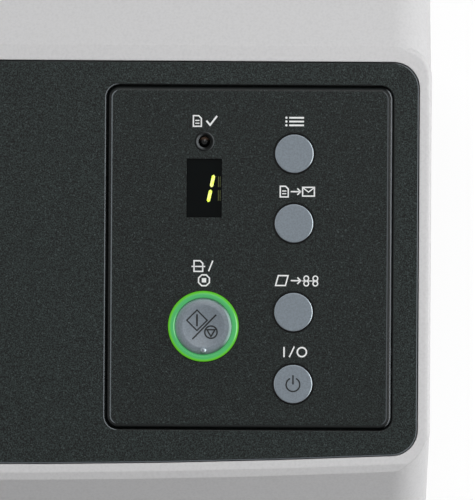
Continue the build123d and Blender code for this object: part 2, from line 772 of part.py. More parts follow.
def round_key(name, place):
    """A flat round key with a flange behind the panel and a stem above its switch."""
    with BuildPart() as key:
        add(disc(FACE, place, (KEY_SEAT, KEY_PROUD), KEY_DIAMETER / 2))
        fillet(key.faces().sort_by(FACE_OUT)[-1].edges(), KEY_EDGE)
        add(disc(FACE, place, (KEY_SEAT - KEY_FLANGE, KEY_SEAT), KEY_DIAMETER / 2 + KEY_GAP + KEY_FLANGE))
        add(disc(FACE, place, (STEM_END, KEY_SEAT - KEY_FLANGE), KEY_STEM_RADIUS))
    save(key.part, name)


def key_crown():
    """Half the section of the large key's top: a dish inside a ridge that falls to the edge."""
    edge = SCAN_KEY_DIAMETER / 2
    ridge = DISH_DIAMETER / 2
    dish = (ridge**2 + DISH_DEPTH**2) / (2 * DISH_DEPTH)
    half_sink = dish - sqrt(dish**2 - ridge**2 / 4)
    low = SCAN_KEY_PROUD - DISH_DEPTH
    with BuildSketch(Plane.XZ) as section:
        with BuildLine():
            ThreePointArc((0, low), (ridge / 2, low + half_sink), (ridge, SCAN_KEY_PROUD))
            TangentArc((ridge, SCAN_KEY_PROUD), (edge, SCAN_KEY_PROUD - CROWN_DROP), tangent=(1, 0))
            Polyline((edge, SCAN_KEY_PROUD - CROWN_DROP), (edge, -PANEL_THICK), (0, -PANEL_THICK), (0, low))
        make_face()
        ridge_corner = section.vertices().sort_by(Axis.Y)[-1]
        fillet(ridge_corner, DISH_RIDGE)
        rim_corner = section.vertices().group_by(Axis.X)[-1].sort_by(Axis.Y)[-1]
        fillet(rim_corner, KEY_EDGE)
    return section.sketch


def scan_stop_button():
    """The large key with a shallow dish and a raised pip."""
    place = (LEFT_COLUMN_X, SCAN_V)
    flange_low = RING_SEAT - KEY_FLANGE - FIT_GAP
    with BuildPart() as key:
        top = revolve(key_crown(), axis=Axis.Z, mode=Mode.PRIVATE)
        add(FACE * Location((*place, 0)) * top)
        add(disc(FACE, place, (flange_low, -PANEL_THICK), SCAN_KEY_DIAMETER / 2))
        with Locations(FACE * Location((place[0], place[1] - PIP_REACH, PIP_RISE))):
            Sphere(PIP_RADIUS)
        add(disc(FACE, place, (flange_low, flange_low + KEY_FLANGE), RING_DIAMETER / 2))
        add(disc(FACE, place, (STEM_END, flange_low), KEY_STEM_RADIUS))
    save(key.part, "scan_stop_button")


def scan_light_ring():
    """The light guide round the large key."""
    place = (LEFT_COLUMN_X, SCAN_V)
    with BuildPart() as ring:
        add(disc(FACE, place, (RING_SEAT, RING_PROUD), RING_DIAMETER / 2))
        fillet(ring.faces().sort_by(FACE_OUT)[-1].edges(), KEY_EDGE)
        add(disc(FACE, place, (RING_SEAT, -PANEL_THICK), RING_DIAMETER / 2 + RING_FLANGE))
        bore = SCAN_KEY_DIAMETER / 2 + RING_GAP
        add(disc(FACE, place, (RING_SEAT, RING_PROUD), bore), mode=Mode.SUBTRACT)
    save(ring.part, "scan_light_ring")


def check_lamp():
    """A small round lamp that stands on the board."""
    place = (LEFT_COLUMN_X, LAMP_V)
    with BuildPart() as lamp:
        add(disc(FACE, place, (-BOARD_DEPTH, -LAMP_CONE_DEPTH - LAMP_RADIUS), LAMP_RADIUS))
        with Locations(FACE * Location((*place, -LAMP_CONE_DEPTH - LAMP_RADIUS))):
            Sphere(LAMP_RADIUS)
        add(disc(FACE, place, (-BOARD_DEPTH, KEY_SEAT - KEY_FLANGE), LAMP_RADIUS + FIT_GAP))
    save(lamp.part, "check_lamp")


def display_block(margin, z):
    """A block round the display's middle, wider than the window by margin on every side."""
    wide = WINDOW_WIDTH / 2 + margin
    tall = WINDOW_HEIGHT / 2 + margin
    return slab(
        FACE,
        (LEFT_COLUMN_X - wide, LEFT_COLUMN_X + wide),
        (DISPLAY_V - tall, DISPLAY_V + tall),
        z,
    )


def display_window():
    """The smoked pane over the display."""
    with BuildPart() as pane:
        add(display_block(0, (-PANEL_THICK, -WINDOW_SINK)))
    save(pane.part, "display_window")


def digit_display():
    """The one-digit display module that stands on the board."""
    with BuildPart() as module:
        add(display_block(DISPLAY_MARGIN, (-BOARD_DEPTH, KEY_SEAT)))
    save(module.part, "digit_display")


def panel_board():
    """The circuit board behind the operating panel."""
    wide = PANEL_WIDTH / 2 - PANEL_SKIRT
    tall = PANEL_HEIGHT / 2 - PANEL_SKIRT
    with BuildPart() as board:
        across = (PANEL_X - wide, PANEL_X + wide)
        up = (PANEL_V - tall, PANEL_V + tall)
        add(slab(FACE, across, up, (-BOARD_DEPTH - BOARD_THICK, -BOARD_DEPTH)))
    save(board.part, "panel_board")


def key_switches():
    """The five small switches on the board, one below each key."""
    half = SWITCH_SIDE / 2
    with BuildPart() as switches:
        for x, v in [*key_places().values(), (LEFT_COLUMN_X, SCAN_V)]:
            add(slab(FACE, (x - half, x + half), (v - half, v + half), (-BOARD_DEPTH, SWITCH_TOP - 1)))
            add(disc(FACE, (x, v), (SWITCH_TOP - 1, SWITCH_TOP), KEY_STEM_RADIUS))
    save(switches.part, "key_switches")


# The paper path


def roller_room(s, radius, x, half_length, h):
    """A window through a guide for one roller, between two heights of the path."""
    depth = radius + NIP_GAP - max(abs(h[0]), abs(h[1])) + 1
    half = sqrt(radius**2 - depth**2) + ROLLER_ROOM
    across = (x - half_length - ROLLER_ROOM, x + half_length + ROLLER_ROOM)
    return slab(PATH, across, (s - half, s + half), h)


def scan_room(s, h):
    """A window through a guide for the neck of a scan unit."""
    long = SCAN_NECK_HALF_LENGTH + FIT_GAP
    half = SCAN_NECK_BREADTH / 2 + FIT_GAP
    return slab(PATH, (-long, long), (s - half, s + half), h)


def upper_paper_guide():
    """The plate in the cover that the pages run under, flared open at the top."""
    low, high = SEAM, SEAM + GUIDE_SHEET
    rear = COVER_REAR_Y
    points = [
        path_point(EXIT_FLARE_S + WALL + FIT_GAP, low),
        path_point(FLARE_S, low),
        (rear, ENTRY_Z - GUIDE_SHEET),
        (rear, ENTRY_Z),
        (rear - GUIDE_SHEET, ENTRY_Z),
        path_point(FLARE_S - 1, high),
        path_point(EXIT_FLARE_S + WALL + FIT_GAP, high),
    ]
    room = (low - 1, high + 1)
    brake_room = (low - 1, high + BRAKE_ROOM)
    with BuildPart() as guide:
        add(plate(-GUIDE_HALF_WIDTH, GUIDE_HALF_WIDTH, points))
        add(scan_room(FRONT_SCAN_S, room), mode=Mode.SUBTRACT)
        for side in BOTH_SIDES:
            tyre = side * TYRE_REACH
            pick = side * PICK_REACH
            add(roller_room(EJECT_S, IDLER_RADIUS, tyre, TYRE_LENGTH / 2, room), mode=Mode.SUBTRACT)
            add(roller_room(FEED_S, IDLER_RADIUS, tyre, TYRE_LENGTH / 2, room), mode=Mode.SUBTRACT)
            half = PICK_LENGTH / 2
            add(roller_room(PICK_S, BRAKE_RADIUS, pick, half, brake_room), mode=Mode.SUBTRACT)
    save(guide.part, "upper_paper_guide")


def lower_paper_guide():
    """The plate in the base that the pages run over."""
    low, high = -GUIDE_SINK - GUIDE_SHEET, -GUIDE_SINK
    half_width = FRAME_X - FIT_GAP
    room = (low - 1, high + 1)
    with BuildPart() as guide:
        add(slab(PATH, (-half_width, half_width), (GUIDE_LOW_S, GUIDE_TOP_S), (low, high)))
        add(scan_room(REAR_SCAN_S, room), mode=Mode.SUBTRACT)
        for side in BOTH_SIDES:
            tyre = side * TYRE_REACH
            pick = side * PICK_REACH
            add(roller_room(EJECT_S, DRIVE_RADIUS, tyre, TYRE_LENGTH / 2, room), mode=Mode.SUBTRACT)
            add(roller_room(FEED_S, DRIVE_RADIUS, tyre, TYRE_LENGTH / 2, room), mode=Mode.SUBTRACT)
            add(roller_room(PICK_S, PICK_RADIUS, pick, PICK_LENGTH / 2, room), mode=Mode.SUBTRACT)
    save(guide.part, "lower_paper_guide")


def scan_unit(prefix, s, up, half_length, face_h):
    """Housing, glass and sensor bar of one scan unit; up is +1 above the path and -1 below."""

    def heights(near, far):
        return tuple(sorted((face_h + up * near, face_h + up * far)))

    def across(half):
        return (s - half, s + half)

    neck = GUIDE_SHEET
    with BuildPart() as housing:
        body = heights(neck, neck + SCAN_HEIGHT)
        add(slab(PATH, (-half_length, half_length), across(SCAN_BREADTH / 2), body))
        length = (-SCAN_NECK_HALF_LENGTH, SCAN_NECK_HALF_LENGTH)
        add(slab(PATH, length, across(SCAN_NECK_BREADTH / 2), heights(0, neck)))
        seat = (-GLASS_HALF_LENGTH - FIT_GAP, GLASS_HALF_LENGTH + FIT_GAP)
        recess = slab(PATH, seat, across(GLASS_BREADTH / 2 + FIT_GAP), heights(-1, GLASS_THICK))
        add(recess, mode=Mode.SUBTRACT)
        inner = (-GLASS_HALF_LENGTH + WALL, GLASS_HALF_LENGTH - WALL)
        cavity = slab(PATH, inner, across(GLASS_BREADTH / 2 - WALL), heights(0, SCAN_CAVITY))
        add(cavity, mode=Mode.SUBTRACT)
    save(housing.part, f"{prefix}_scan_housing")
    with BuildPart() as glass:
        length = (-GLASS_HALF_LENGTH, GLASS_HALF_LENGTH)
        add(slab(PATH, length, across(GLASS_BREADTH / 2), heights(0, GLASS_THICK)))
    save(glass.part, f"{prefix}_scan_glass")
    with BuildPart() as sensor:
        length = (-GLASS_HALF_LENGTH + 2 * WALL, GLASS_HALF_LENGTH - 2 * WALL)
        bar = heights(SCAN_CAVITY - SENSOR_HEIGHT, SCAN_CAVITY)
        add(slab(PATH, length, across(SENSOR_BREADTH / 2), bar))
        lens = heights(SCAN_CAVITY - SENSOR_HEIGHT - WALL, SCAN_CAVITY - SENSOR_HEIGHT)
        add(slab(PATH, length, across(SENSOR_BREADTH / 6), lens))
    save(sensor.part, f"{prefix}_scan_sensor")


def idler_row(name, place, radius, half_reach, length):
    """Two free rollers on one axle that turns in the cover's ribs."""
    end = GUIDE_HALF_WIDTH + FIT_GAP + RIB_SHEET - SLIDE_GAP
    with BuildPart() as row:
        add(rod(-end, end, place, AXLE_RADIUS))
        for side in BOTH_SIDES:
            middle = side * half_reach
            add(rod(middle - length / 2, middle + length / 2, place, radius))
    save(row.part, name)


def pulley(place, pitch_radius):
    """A flanged belt pulley outside the right frame plate."""
    half = PULLEY_CORE / 2
    with BuildPart() as wheel:
        add(rod(PULLEY_X - half, PULLEY_X + half, place, pitch_radius))
        for start in (PULLEY_X - half - PULLEY_FLANGE, PULLEY_X + half):
            add(rod(start, start + PULLEY_FLANGE, place, pitch_radius + PULLEY_RISE))
    return wheel.part


def shaft_ends():
    """Where a driven shaft starts on the left and stops on the right."""
    left = FRAME_X - BUSH_FLANGE + BUSH_LENGTH
    return (-left, PULLEY_X + PULLEY_CORE / 2 + PULLEY_FLANGE)


def eject_roller():
    """The exit roller, moulded in one piece with its pulley."""
    place = drive_place(EJECT_S, DRIVE_RADIUS)
    with BuildPart() as roller:
        add(rod(*shaft_ends(), place, SHAFT_RADIUS))
        for side in BOTH_SIDES:
            middle = side * TYRE_REACH
            add(rod(middle - TYRE_LENGTH / 2, middle + TYRE_LENGTH / 2, place, DRIVE_RADIUS))
        add(pulley(place, FEED_PULLEY))
    save(roller.part, "eject_roller")


def tyre_roller(prefix, s, radius, reach, length):
    """A steel shaft with two moulded hubs, and the rubber tyres on them."""
    place = drive_place(s, radius)
    hub = radius - TYRE_THICK
    with BuildPart() as shaft:
        add(rod(*shaft_ends(), place, SHAFT_RADIUS))
        for side in BOTH_SIDES:
            middle = side * reach
            add(rod(middle - length / 2, middle + length / 2, place, hub))
    save(shaft.part, f"{prefix}_shaft")
    with BuildPart() as tyres:
        for side in BOTH_SIDES:
            middle = side * reach
            add(rod(middle - length / 2, middle + length / 2, place, radius))
            bore = rod(middle - length / 2, middle + length / 2, place, hub + RUN_GAP)
            add(bore, mode=Mode.SUBTRACT)
    save(tyres.part, f"{prefix}_tyres")


def shaft_pulley(name, place, pitch_radius):
    """A pulley that is pushed on a driven shaft."""
    with BuildPart() as wheel:
        add(pulley(place, pitch_radius))
        add(rod(FRAME_X, PULLEY_X + BELT_WIDTH * 2, place, SHAFT_RADIUS + RUN_GAP), mode=Mode.SUBTRACT)
    save(wheel.part, name)


def drive_places():
    """The three driven axes."""
    return (
        drive_place(EJECT_S, DRIVE_RADIUS),
        drive_place(FEED_S, DRIVE_RADIUS),
        drive_place(PICK_S, PICK_RADIUS),
    )


def shaft_bushes():
    """Six flanged bushes that carry the driven shafts in the frame plates."""
    with BuildPart() as bushes:
        for place in drive_places():
            for side in BOTH_SIDES:
                start = side * (FRAME_X - BUSH_FLANGE)
                flange_end = side * FRAME_X
                end = side * (FRAME_X - BUSH_FLANGE + BUSH_LENGTH)
                add(rod(*sorted((start, flange_end)), place, BUSH_FLANGE_RADIUS))
                add(rod(*sorted((flange_end, end)), place, BUSH_RADIUS))
                add(rod(*sorted((start, end)), place, SHAFT_RADIUS + RUN_GAP), mode=Mode.SUBTRACT)
    save(bushes.part, "shaft_bushes")


def drive_belt():
    """The toothed belt round the motor pulley and the three roller pulleys."""
    wheels = [
        (drive_place(EJECT_S, DRIVE_RADIUS), FEED_PULLEY),
        (drive_place(FEED_S, DRIVE_RADIUS), FEED_PULLEY),
        (drive_place(PICK_S, PICK_RADIUS), PICK_PULLEY),
        ((MOTOR_Y, MOTOR_Z), MOTOR_PULLEY),
    ]
    loops = []
    for grow in (BELT_GAP + BELT_THICK, BELT_GAP):
        with BuildSketch(Plane.YZ.offset(PULLEY_X - BELT_WIDTH / 2)) as loop:
            for place, radius in wheels:
                with Locations(place):
                    Circle(radius + grow)
            make_hull()
        loops.append(loop.sketch)
    with BuildPart() as belt:
        extrude(loops[0], amount=BELT_WIDTH)
        extrude(loops[1], amount=BELT_WIDTH, mode=Mode.SUBTRACT)
    save(belt.part, "drive_belt")


def drive_motor():
    """The stepping motor on the inside of the right frame plate."""
    half = MOTOR_SIDE / 2
    start = FRAME_X - MOTOR_LENGTH
    corners = [
        (MOTOR_Y - half, MOTOR_Z - half),
        (MOTOR_Y + half, MOTOR_Z - half),
        (MOTOR_Y + half, MOTOR_Z + half),
        (MOTOR_Y - half, MOTOR_Z + half),
    ]
    with BuildPart() as motor:
        add(plate(start, FRAME_X, corners))
        chamfer(motor.edges().filter_by(Axis.X), 2 * WALL)
        bore = rod(FRAME_X - MOTOR_BORE, FRAME_X, (MOTOR_Y, MOTOR_Z), MOTOR_SHAFT_RADIUS + RUN_GAP)
        add(bore, mode=Mode.SUBTRACT)
    save(motor.part, "drive_motor")


def motor_pulley():
    """The motor's shaft with its pulley."""
    place = (MOTOR_Y, MOTOR_Z)
    with BuildPart() as wheel:
        end = PULLEY_X + PULLEY_CORE / 2 + PULLEY_FLANGE
        add(rod(FRAME_X - MOTOR_BORE + SLIDE_GAP, end, place, MOTOR_SHAFT_RADIUS))
        add(pulley(place, MOTOR_PULLEY))
    save(wheel.part, "motor_pulley")


# The cover latch


def latch_frame():
    """The latch rod's place, and the unit vectors towards its striker and forward of that."""
    rod_y, rod_z = path_point(LATCH_S, LATCH_H)
    pin_y, pin_z = path_point(STRIKER_S, -STRIKER_DEPTH)
    reach = hypot(pin_y - rod_y, pin_z - rod_z)
    along = ((pin_y - rod_y) / reach, (pin_z - rod_z) / reach)
    return (rod_y, rod_z), reach, along, (along[1], -along[0])


def latch_bar():
    """The latch: a paddle in the cover's top, a rod across and a hook at each end, lifted."""
    (rod_y, rod_z), reach, along, forward = latch_frame()

    def hook_point(a, b):
        return (rod_y + a * along[0] + b * forward[0], rod_z + a * along[1] + b * forward[1])

    near = STRIKER_RADIUS + LATCH_PLAY
    inner = reach + STRIKER_RADIUS + LATCH_PLAY
    hook = [
        hook_point(-near, -near),
        hook_point(3 * near, -near),
        hook_point(4 * near, near),
        hook_point(inner, near),
        hook_point(inner, -near),
        hook_point(inner + LATCH_NOSE, -near),
        hook_point(inner + LATCH_NOSE, near + LATCH_ARM_BREADTH),
        hook_point(-near, near + LATCH_ARM_BREADTH),
    ]
    web = LATCH_ROD_RADIUS
    paddle = [
        (PADDLE_FRONT_Y, cover_top_z(PADDLE_FRONT_Y, PADDLE_THICK)),
        (PADDLE_FRONT_Y, cover_top_z(PADDLE_FRONT_Y)),
        (PADDLE_REAR_Y, cover_top_z(PADDLE_REAR_Y)),
        (PADDLE_REAR_Y, cover_top_z(PADDLE_REAR_Y, PADDLE_THICK)),
        (rod_y + web, cover_top_z(rod_y + web, PADDLE_THICK)),
        (rod_y + web, rod_z),
        (rod_y - web, rod_z),
        (rod_y - web, cover_top_z(rod_y - web, PADDLE_THICK)),
    ]
    end = HOOK_X + HOOK_SHEET / 2
    with BuildPart() as latch:
        add(rod(-end, end, (rod_y, rod_z), LATCH_ROD_RADIUS))
        add(plate(-PADDLE_HALF_WIDTH, PADDLE_HALF_WIDTH, paddle))
        for side in BOTH_SIDES:
            middle = side * HOOK_X
            add(plate(middle - HOOK_SHEET / 2, middle + HOOK_SHEET / 2, hook))
    lifted = latch.part.rotate(Axis((0, rod_y, rod_z), (1, 0, 0)), -LATCH_SWING)
    save(lifted, "latch_bar")


def hinge_and_latch_pins():
    """Two hinge pins in the ears of the side covers and two strikers in the frame plates."""
    with BuildPart() as pins:
        for side in BOTH_SIDES:
            start, end = sorted((side * (GUIDE_HALF_WIDTH + FIT_GAP), side * (SIDE_INNER_X + EAR_THICK)))
            add(rod(start, end, (HINGE_Y, HINGE_Z), HINGE_PIN_RADIUS))
            start, end = sorted((side * FRAME_X, side * STRIKER_END_X))
            add(rod(start, end, path_point(STRIKER_S, -STRIKER_DEPTH), STRIKER_RADIUS))
    save(pins.part, "hinge_and_latch_pins")


# The base


def side_cover(name, side):
    """A side casing: outer skin, top bands, an inner wall where it shows, and the hinge ear."""
    outer = [
        (APRON_SEAM_Y, SKIRT_Z),
        split_point(APRON_SEAM_Y, -SEAM),
        split_point(COVER_REAR_Y + SEAM, -SEAM),
        (COVER_REAR_Y + SEAM, cover_top_z(COVER_REAR_Y)),
        (SHOULDER_CREST_Y, SHOULDER_CREST_Z),
        (HALF_DEPTH, SHOULDER_REAR_Z),
        (HALF_DEPTH, SKIRT_Z),
    ]
    with BuildSketch(Plane.YZ) as inside:
        with BuildLine():
            Polyline(*outer, close=True)
        make_face()
        offset(amount=-WALL, kind=Kind.INTERSECTION)
        with BuildLine():
            front, rear = APRON_SEAM_Y + WALL, HALF_DEPTH - WALL
            Polyline((front, 0), (rear, 0), (rear, FLOOR_TOP_Z), (front, FLOOR_TOP_Z), close=True)
        make_face()
    inner_wall = SIDE_INNER_X + WALL
    hollow_solid = extrude(inside.sketch, amount=INNER_HALF_WIDTH, mode=Mode.PRIVATE)
    with BuildPart() as hollow:
        add(hollow_solid)
        edges = hollow.edges().filter_by(
            lambda e: abs(e.center().X - INNER_HALF_WIDTH) < 0.01
            and (e.center().Z > cover_top_z(COVER_REAR_Y) - WALL or e.center().Y > HALF_DEPTH - WALL - 1)
        )
        fillet(edges, SOFT_EDGE - WALL)
        split(bisect_by=Plane.YZ.offset(inner_wall), keep=Keep.TOP)
    window = [
        (WINDOW_FRONT_Y, FLOOR_TOP_Z),
        split_point(WINDOW_FRONT_Y, -2 * SEAM - WALL),
        level_point(WINDOW_TOP_Z, -2 * SEAM - WALL),
        (FRAME_REAR_Y, WINDOW_TOP_Z),
        (FRAME_REAR_Y, FLOOR_TOP_Z),
    ]
    hook_low = STRIKER_S - 2 * SOFT_EDGE
    hook_high = STRIKER_S + SOFT_EDGE
    with BuildPart() as casing:
        add(plate(SIDE_INNER_X, HALF_WIDTH, outer))
        edges = casing.edges().filter_by(
            lambda e: abs(e.center().X - HALF_WIDTH) < 0.01
            and (e.center().Z > cover_top_z(COVER_REAR_Y) or e.center().Y > HALF_DEPTH - 1)
        )
        fillet(edges, SOFT_EDGE)
        add(hollow.part, mode=Mode.SUBTRACT)
        add(plate(SIDE_INNER_X - 1, inner_wall + 1, window), mode=Mode.SUBTRACT)
        with BuildSketch(Plane.YZ.offset(SIDE_INNER_X)):
            with Locations((HINGE_Y, HINGE_Z), (EAR_ROOT_Y, EAR_ROOT_Z)):
                Circle(EAR_RADIUS)
            make_hull()
        extrude(amount=EAR_THICK)
        pin = HINGE_PIN_RADIUS + RUN_GAP
        add(rod(SIDE_INNER_X - 1, inner_wall + EAR_THICK, (HINGE_Y, HINGE_Z), pin), mode=Mode.SUBTRACT)
        pin = CHUTE_PIN_RADIUS + RUN_GAP
        add(rod(SIDE_INNER_X - 1, inner_wall + 1, (CHUTE_Y, CHUTE_Z), pin), mode=Mode.SUBTRACT)
        across = (HOOK_X - HOOK_SHEET / 2 - 1, HOOK_X + HOOK_SHEET / 2 + 1)
        slot = slab(PATH, across, (hook_low, hook_high), (-2 * SEAM - WALL, 1))
        add(slot, mode=Mode.SUBTRACT)
    piece = casing.part if side > 0 else casing.part.mirror(Plane.YZ)
    save(piece, name)


def base_pan():
    """The sheet metal floor, with side flanges and posts for the main board."""
    reach = INNER_HALF_WIDTH - 2 * FIT_GAP
    front = BASE_FRONT_Y + WALL + FIT_GAP
    rear = FRAME_REAR_Y - FRAME_SHEET - FIT_GAP
    with BuildPart() as pan:
        with BuildSketch(Plane.XY.offset(FOOT_HEIGHT)):
            with Locations((0, (front + rear) / 2)):
                Rectangle(2 * reach, rear - front)
        extrude(amount=PAN_SHEET)
        for side in BOTH_SIDES:
            edges = sorted((side * (reach - PAN_SHEET), side * reach))
            run = (APRON_SEAM_Y + 2 * WALL, rear - SOFT_EDGE)
            add(slab(Plane.XY, edges, run, (FOOT_HEIGHT, FOOT_HEIGHT + PAN_FLANGE)))
        with BuildSketch(Plane.XY.offset(PAN_TOP_Z)):
            with Locations((CONTROL_X, CONTROL_Y)):
                with GridLocations(CONTROL_WIDTH - 2 * POST_INSET, CONTROL_DEPTH - 2 * POST_INSET, 2, 2):
                    Circle(POST_RADIUS)
        extrude(amount=CONTROL_STANDOFF)
    save(pan.part, "base_pan")


def rubber_feet():
    """Four round feet below the pan."""
    places = [(side * FOOT_X, y) for side in BOTH_SIDES for y in (FOOT_FRONT_Y, FOOT_REAR_Y)]
    with BuildPart() as feet:
        with BuildSketch():
            with Locations(*places):
                Circle(FOOT_RADIUS)
        extrude(amount=FOOT_HEIGHT)
        chamfer(feet.faces().filter_by(lambda f: f.center().Z < 0.01).edges(), 1)
    save(feet.part, "rubber_feet")


def stacker_floor():
    """The front of the base: pages land on it, and the stacker tray slides below it."""
    roof = FLOOR_TOP_Z - WALL
    middle_y = (BASE_FRONT_Y + APRON_Y) / 2
    length = APRON_Y - BASE_FRONT_Y
    rail_inner = TRAY_HALF_WIDTH + SLIDE_GAP
    with BuildPart() as floor:
        with BuildSketch(Plane.XY.offset(SKIRT_Z)) as outline:
            with Locations((0, middle_y)):
                Rectangle(BODY_WIDTH, length)
            fillet(outline.vertices().sort_by(Axis.Y)[:2], BASE_CORNER)
        extrude(amount=FLOOR_TOP_Z - SKIRT_Z)
        fillet(floor.faces().sort_by(Axis.Z)[-1].edges().sort_by(Axis.Y)[0], WALL / 2)
        with BuildSketch(Plane.XY.offset(SKIRT_Z)) as inside:
            with Locations((0, middle_y)):
                Rectangle(BODY_WIDTH - 2 * WALL, length - 2 * WALL)
            fillet(inside.vertices().sort_by(Axis.Y)[:2], BASE_CORNER - WALL)
        extrude(amount=roof - SKIRT_Z, mode=Mode.SUBTRACT)
        across = (-BASE_HALF_WIDTH, BASE_HALF_WIDTH)
        behind = (APRON_Y - WALL, FLOOR_BACK_Y)
        add(slab(Plane.XY, across, behind, (roof, FLOOR_TOP_Z)))
        passage = (-rail_inner - RAIL_SHEET, rail_inner + RAIL_SHEET)
        add(slab(Plane.XY, passage, (APRON_Y - 2 * WALL, APRON_Y + 1), (0, roof)), mode=Mode.SUBTRACT)
        riser = [
            (FLOOR_BACK_Y - WALL, roof),
            (EXIT_Y, RISER_TOP_Z),
            (EXIT_Y + WALL, RISER_TOP_Z),
            (FLOOR_BACK_Y, FLOOR_TOP_Z),
            (FLOOR_BACK_Y, roof),
        ]
        add(plate(*across, riser))
        front = (BASE_FRONT_Y - 1, BASE_FRONT_Y + WALL + 1)
        slot = slab(Plane.XY, (-rail_inner, rail_inner), front, (TRAY_BOTTOM_Z - SLIDE_GAP, roof))
        add(slot, mode=Mode.SUBTRACT)
        finger = STOP_HALF_WIDTH + 2
        notch_rear = STOP_HINGE_Y + STOP_HEIGHT + 2
        notch = slab(Plane.XY, (-finger, finger), (STOP_HINGE_Y - 2, notch_rear), (roof - 1, FLOOR_TOP_Z + 1))
        add(notch, mode=Mode.SUBTRACT)
        for side in BOTH_SIDES:
            rail = sorted((side * rail_inner, side * (rail_inner + RAIL_SHEET)))
            lip = sorted((side * (rail_inner - RAIL_LIP), side * rail_inner))
            low = TRAY_BOTTOM_Z - SLIDE_GAP - WALL
            run = (BASE_FRONT_Y + WALL, FLOOR_BACK_Y)
            add(slab(Plane.XY, rail, run, (low, roof)))
            add(slab(Plane.XY, lip, run, (low, low + WALL)))
    save(floor.part, "stacker_floor")


def top_deck():
    """The flat top behind the paper feed, where the chute folds down."""
    with BuildPart() as deck:
        across = (-BASE_HALF_WIDTH, BASE_HALF_WIDTH)
        rear = REAR_FACE_Y - WALL - FIT_GAP
        add(slab(Plane.XY, across, (DECK_FRONT_Y, rear), (DECK_Z - WALL, DECK_Z)))
        lip = (DECK_FRONT_Y, DECK_FRONT_Y + WALL)
        inner = (-FRAME_X + FIT_GAP, FRAME_X - FIT_GAP)
        add(slab(Plane.XY, inner, lip, (DECK_Z - 4 * WALL, DECK_Z)))
    save(deck.part, "top_deck")


def rear_screw_places():
    """(X, Z) of the screws that hold the rear cover."""
    x = FRAME_X - FRAME_FLANGE / 2
    return [(side * x, z) for side in BOTH_SIDES for z in SCREW_HEIGHTS]


def rear_cover():
    """The back panel, with vents and holes for the inlet, data socket and screws."""
    front, rear = REAR_FACE_Y - WALL, REAR_FACE_Y
    through = (front - 1, rear + 1)
    with BuildPart() as cover:
        add(slab(Plane.XY, (-BASE_HALF_WIDTH, BASE_HALF_WIDTH), (front, rear), (SKIRT_Z, DECK_Z)))
        for side in BOTH_SIDES:
            for row in range(VENT_ROWS):
                z = VENT_Z + row * VENT_PITCH
                middle = side * VENT_LENGTH
                across = (middle - VENT_LENGTH / 2, middle + VENT_LENGTH / 2)
                add(slab(Plane.XY, across, through, (z, z + VENT_HEIGHT)), mode=Mode.SUBTRACT)
        holes = (
            (INLET_X, INLET_Z, INLET_WIDTH, INLET_HEIGHT),
            (DATA_X, DATA_Z, DATA_WIDTH, DATA_HEIGHT),
        )
        for x, z, width, height in holes:
            across = (x - width / 2 - FIT_GAP, x + width / 2 + FIT_GAP)
            up = (z - height / 2 - FIT_GAP, z + height / 2 + FIT_GAP)
            add(slab(Plane.XY, across, through, up), mode=Mode.SUBTRACT)
        with BuildSketch(Plane.XZ.offset(-rear - 1)):
            with Locations(*rear_screw_places()):
                Circle(SCREW_RADIUS + RUN_GAP)
        extrude(amount=2 * WALL, mode=Mode.SUBTRACT)
    save(cover.part, "rear_cover")


def rear_screws():
    """Six pan-head screws through the rear cover into the frame flanges."""
    with BuildPart() as screws:
        with BuildSketch(Plane.XZ.offset(-REAR_FACE_Y - SCREW_HEAD)):
            with Locations(*rear_screw_places()):
                Circle(SCREW_HEAD_RADIUS)
        extrude(amount=SCREW_HEAD)
        fillet(screws.faces().sort_by(Axis.Y)[-6:].edges(), SCREW_HEAD / 3)
        with BuildSketch(Plane.XZ.offset(-REAR_FACE_Y)):
            with Locations(*rear_screw_places()):
                Circle(SCREW_RADIUS)
        extrude(amount=SCREW_LENGTH)
    save(screws.part, "rear_screws")


def frame_plate(name, side):
    """A side frame plate with a rear flange and holes for the bushes, striker and motor."""
    top_z = DECK_Z - WALL - FIT_GAP
    points = [
        (FRAME_FRONT_Y, PAN_TOP_Z),
        split_point(FRAME_FRONT_Y, -GUIDE_SINK - GUIDE_SHEET - SEAM),
        level_point(top_z, -GUIDE_SINK - GUIDE_SHEET - SEAM),
        (FRAME_REAR_Y, top_z),
        (FRAME_REAR_Y, PAN_TOP_Z),
    ]
    low, high = sorted((side * FRAME_X, side * (FRAME_X + FRAME_SHEET)))
    flange = sorted((side * (FRAME_X + FRAME_SHEET - FRAME_FLANGE), side * (FRAME_X + FRAME_SHEET)))
    with BuildPart() as frame:
        add(plate(low, high, points))
        back = (FRAME_REAR_Y - FRAME_SHEET, FRAME_REAR_Y)
        add(slab(Plane.XY, flange, back, (2 * FLOOR_TOP_Z / 3, top_z)))
        for place in drive_places():
            add(rod(low - 1, high + 1, place, BUSH_RADIUS + RUN_GAP), mode=Mode.SUBTRACT)
        striker = path_point(STRIKER_S, -STRIKER_DEPTH)
        add(rod(low - 1, high + 1, striker, STRIKER_RADIUS + RUN_GAP), mode=Mode.SUBTRACT)
        if side > 0:
            motor = (MOTOR_Y, MOTOR_Z)
            add(rod(low - 1, high + 1, motor, MOTOR_PULLEY + PULLEY_RISE), mode=Mode.SUBTRACT)
        with BuildSketch(Plane.XZ.offset(-FRAME_REAR_Y - 1)):
            with Locations(*rear_screw_places()):
                Circle(SCREW_RADIUS + RUN_GAP)
        extrude(amount=2 * FRAME_SHEET, mode=Mode.SUBTRACT)
    save(frame.part, name)


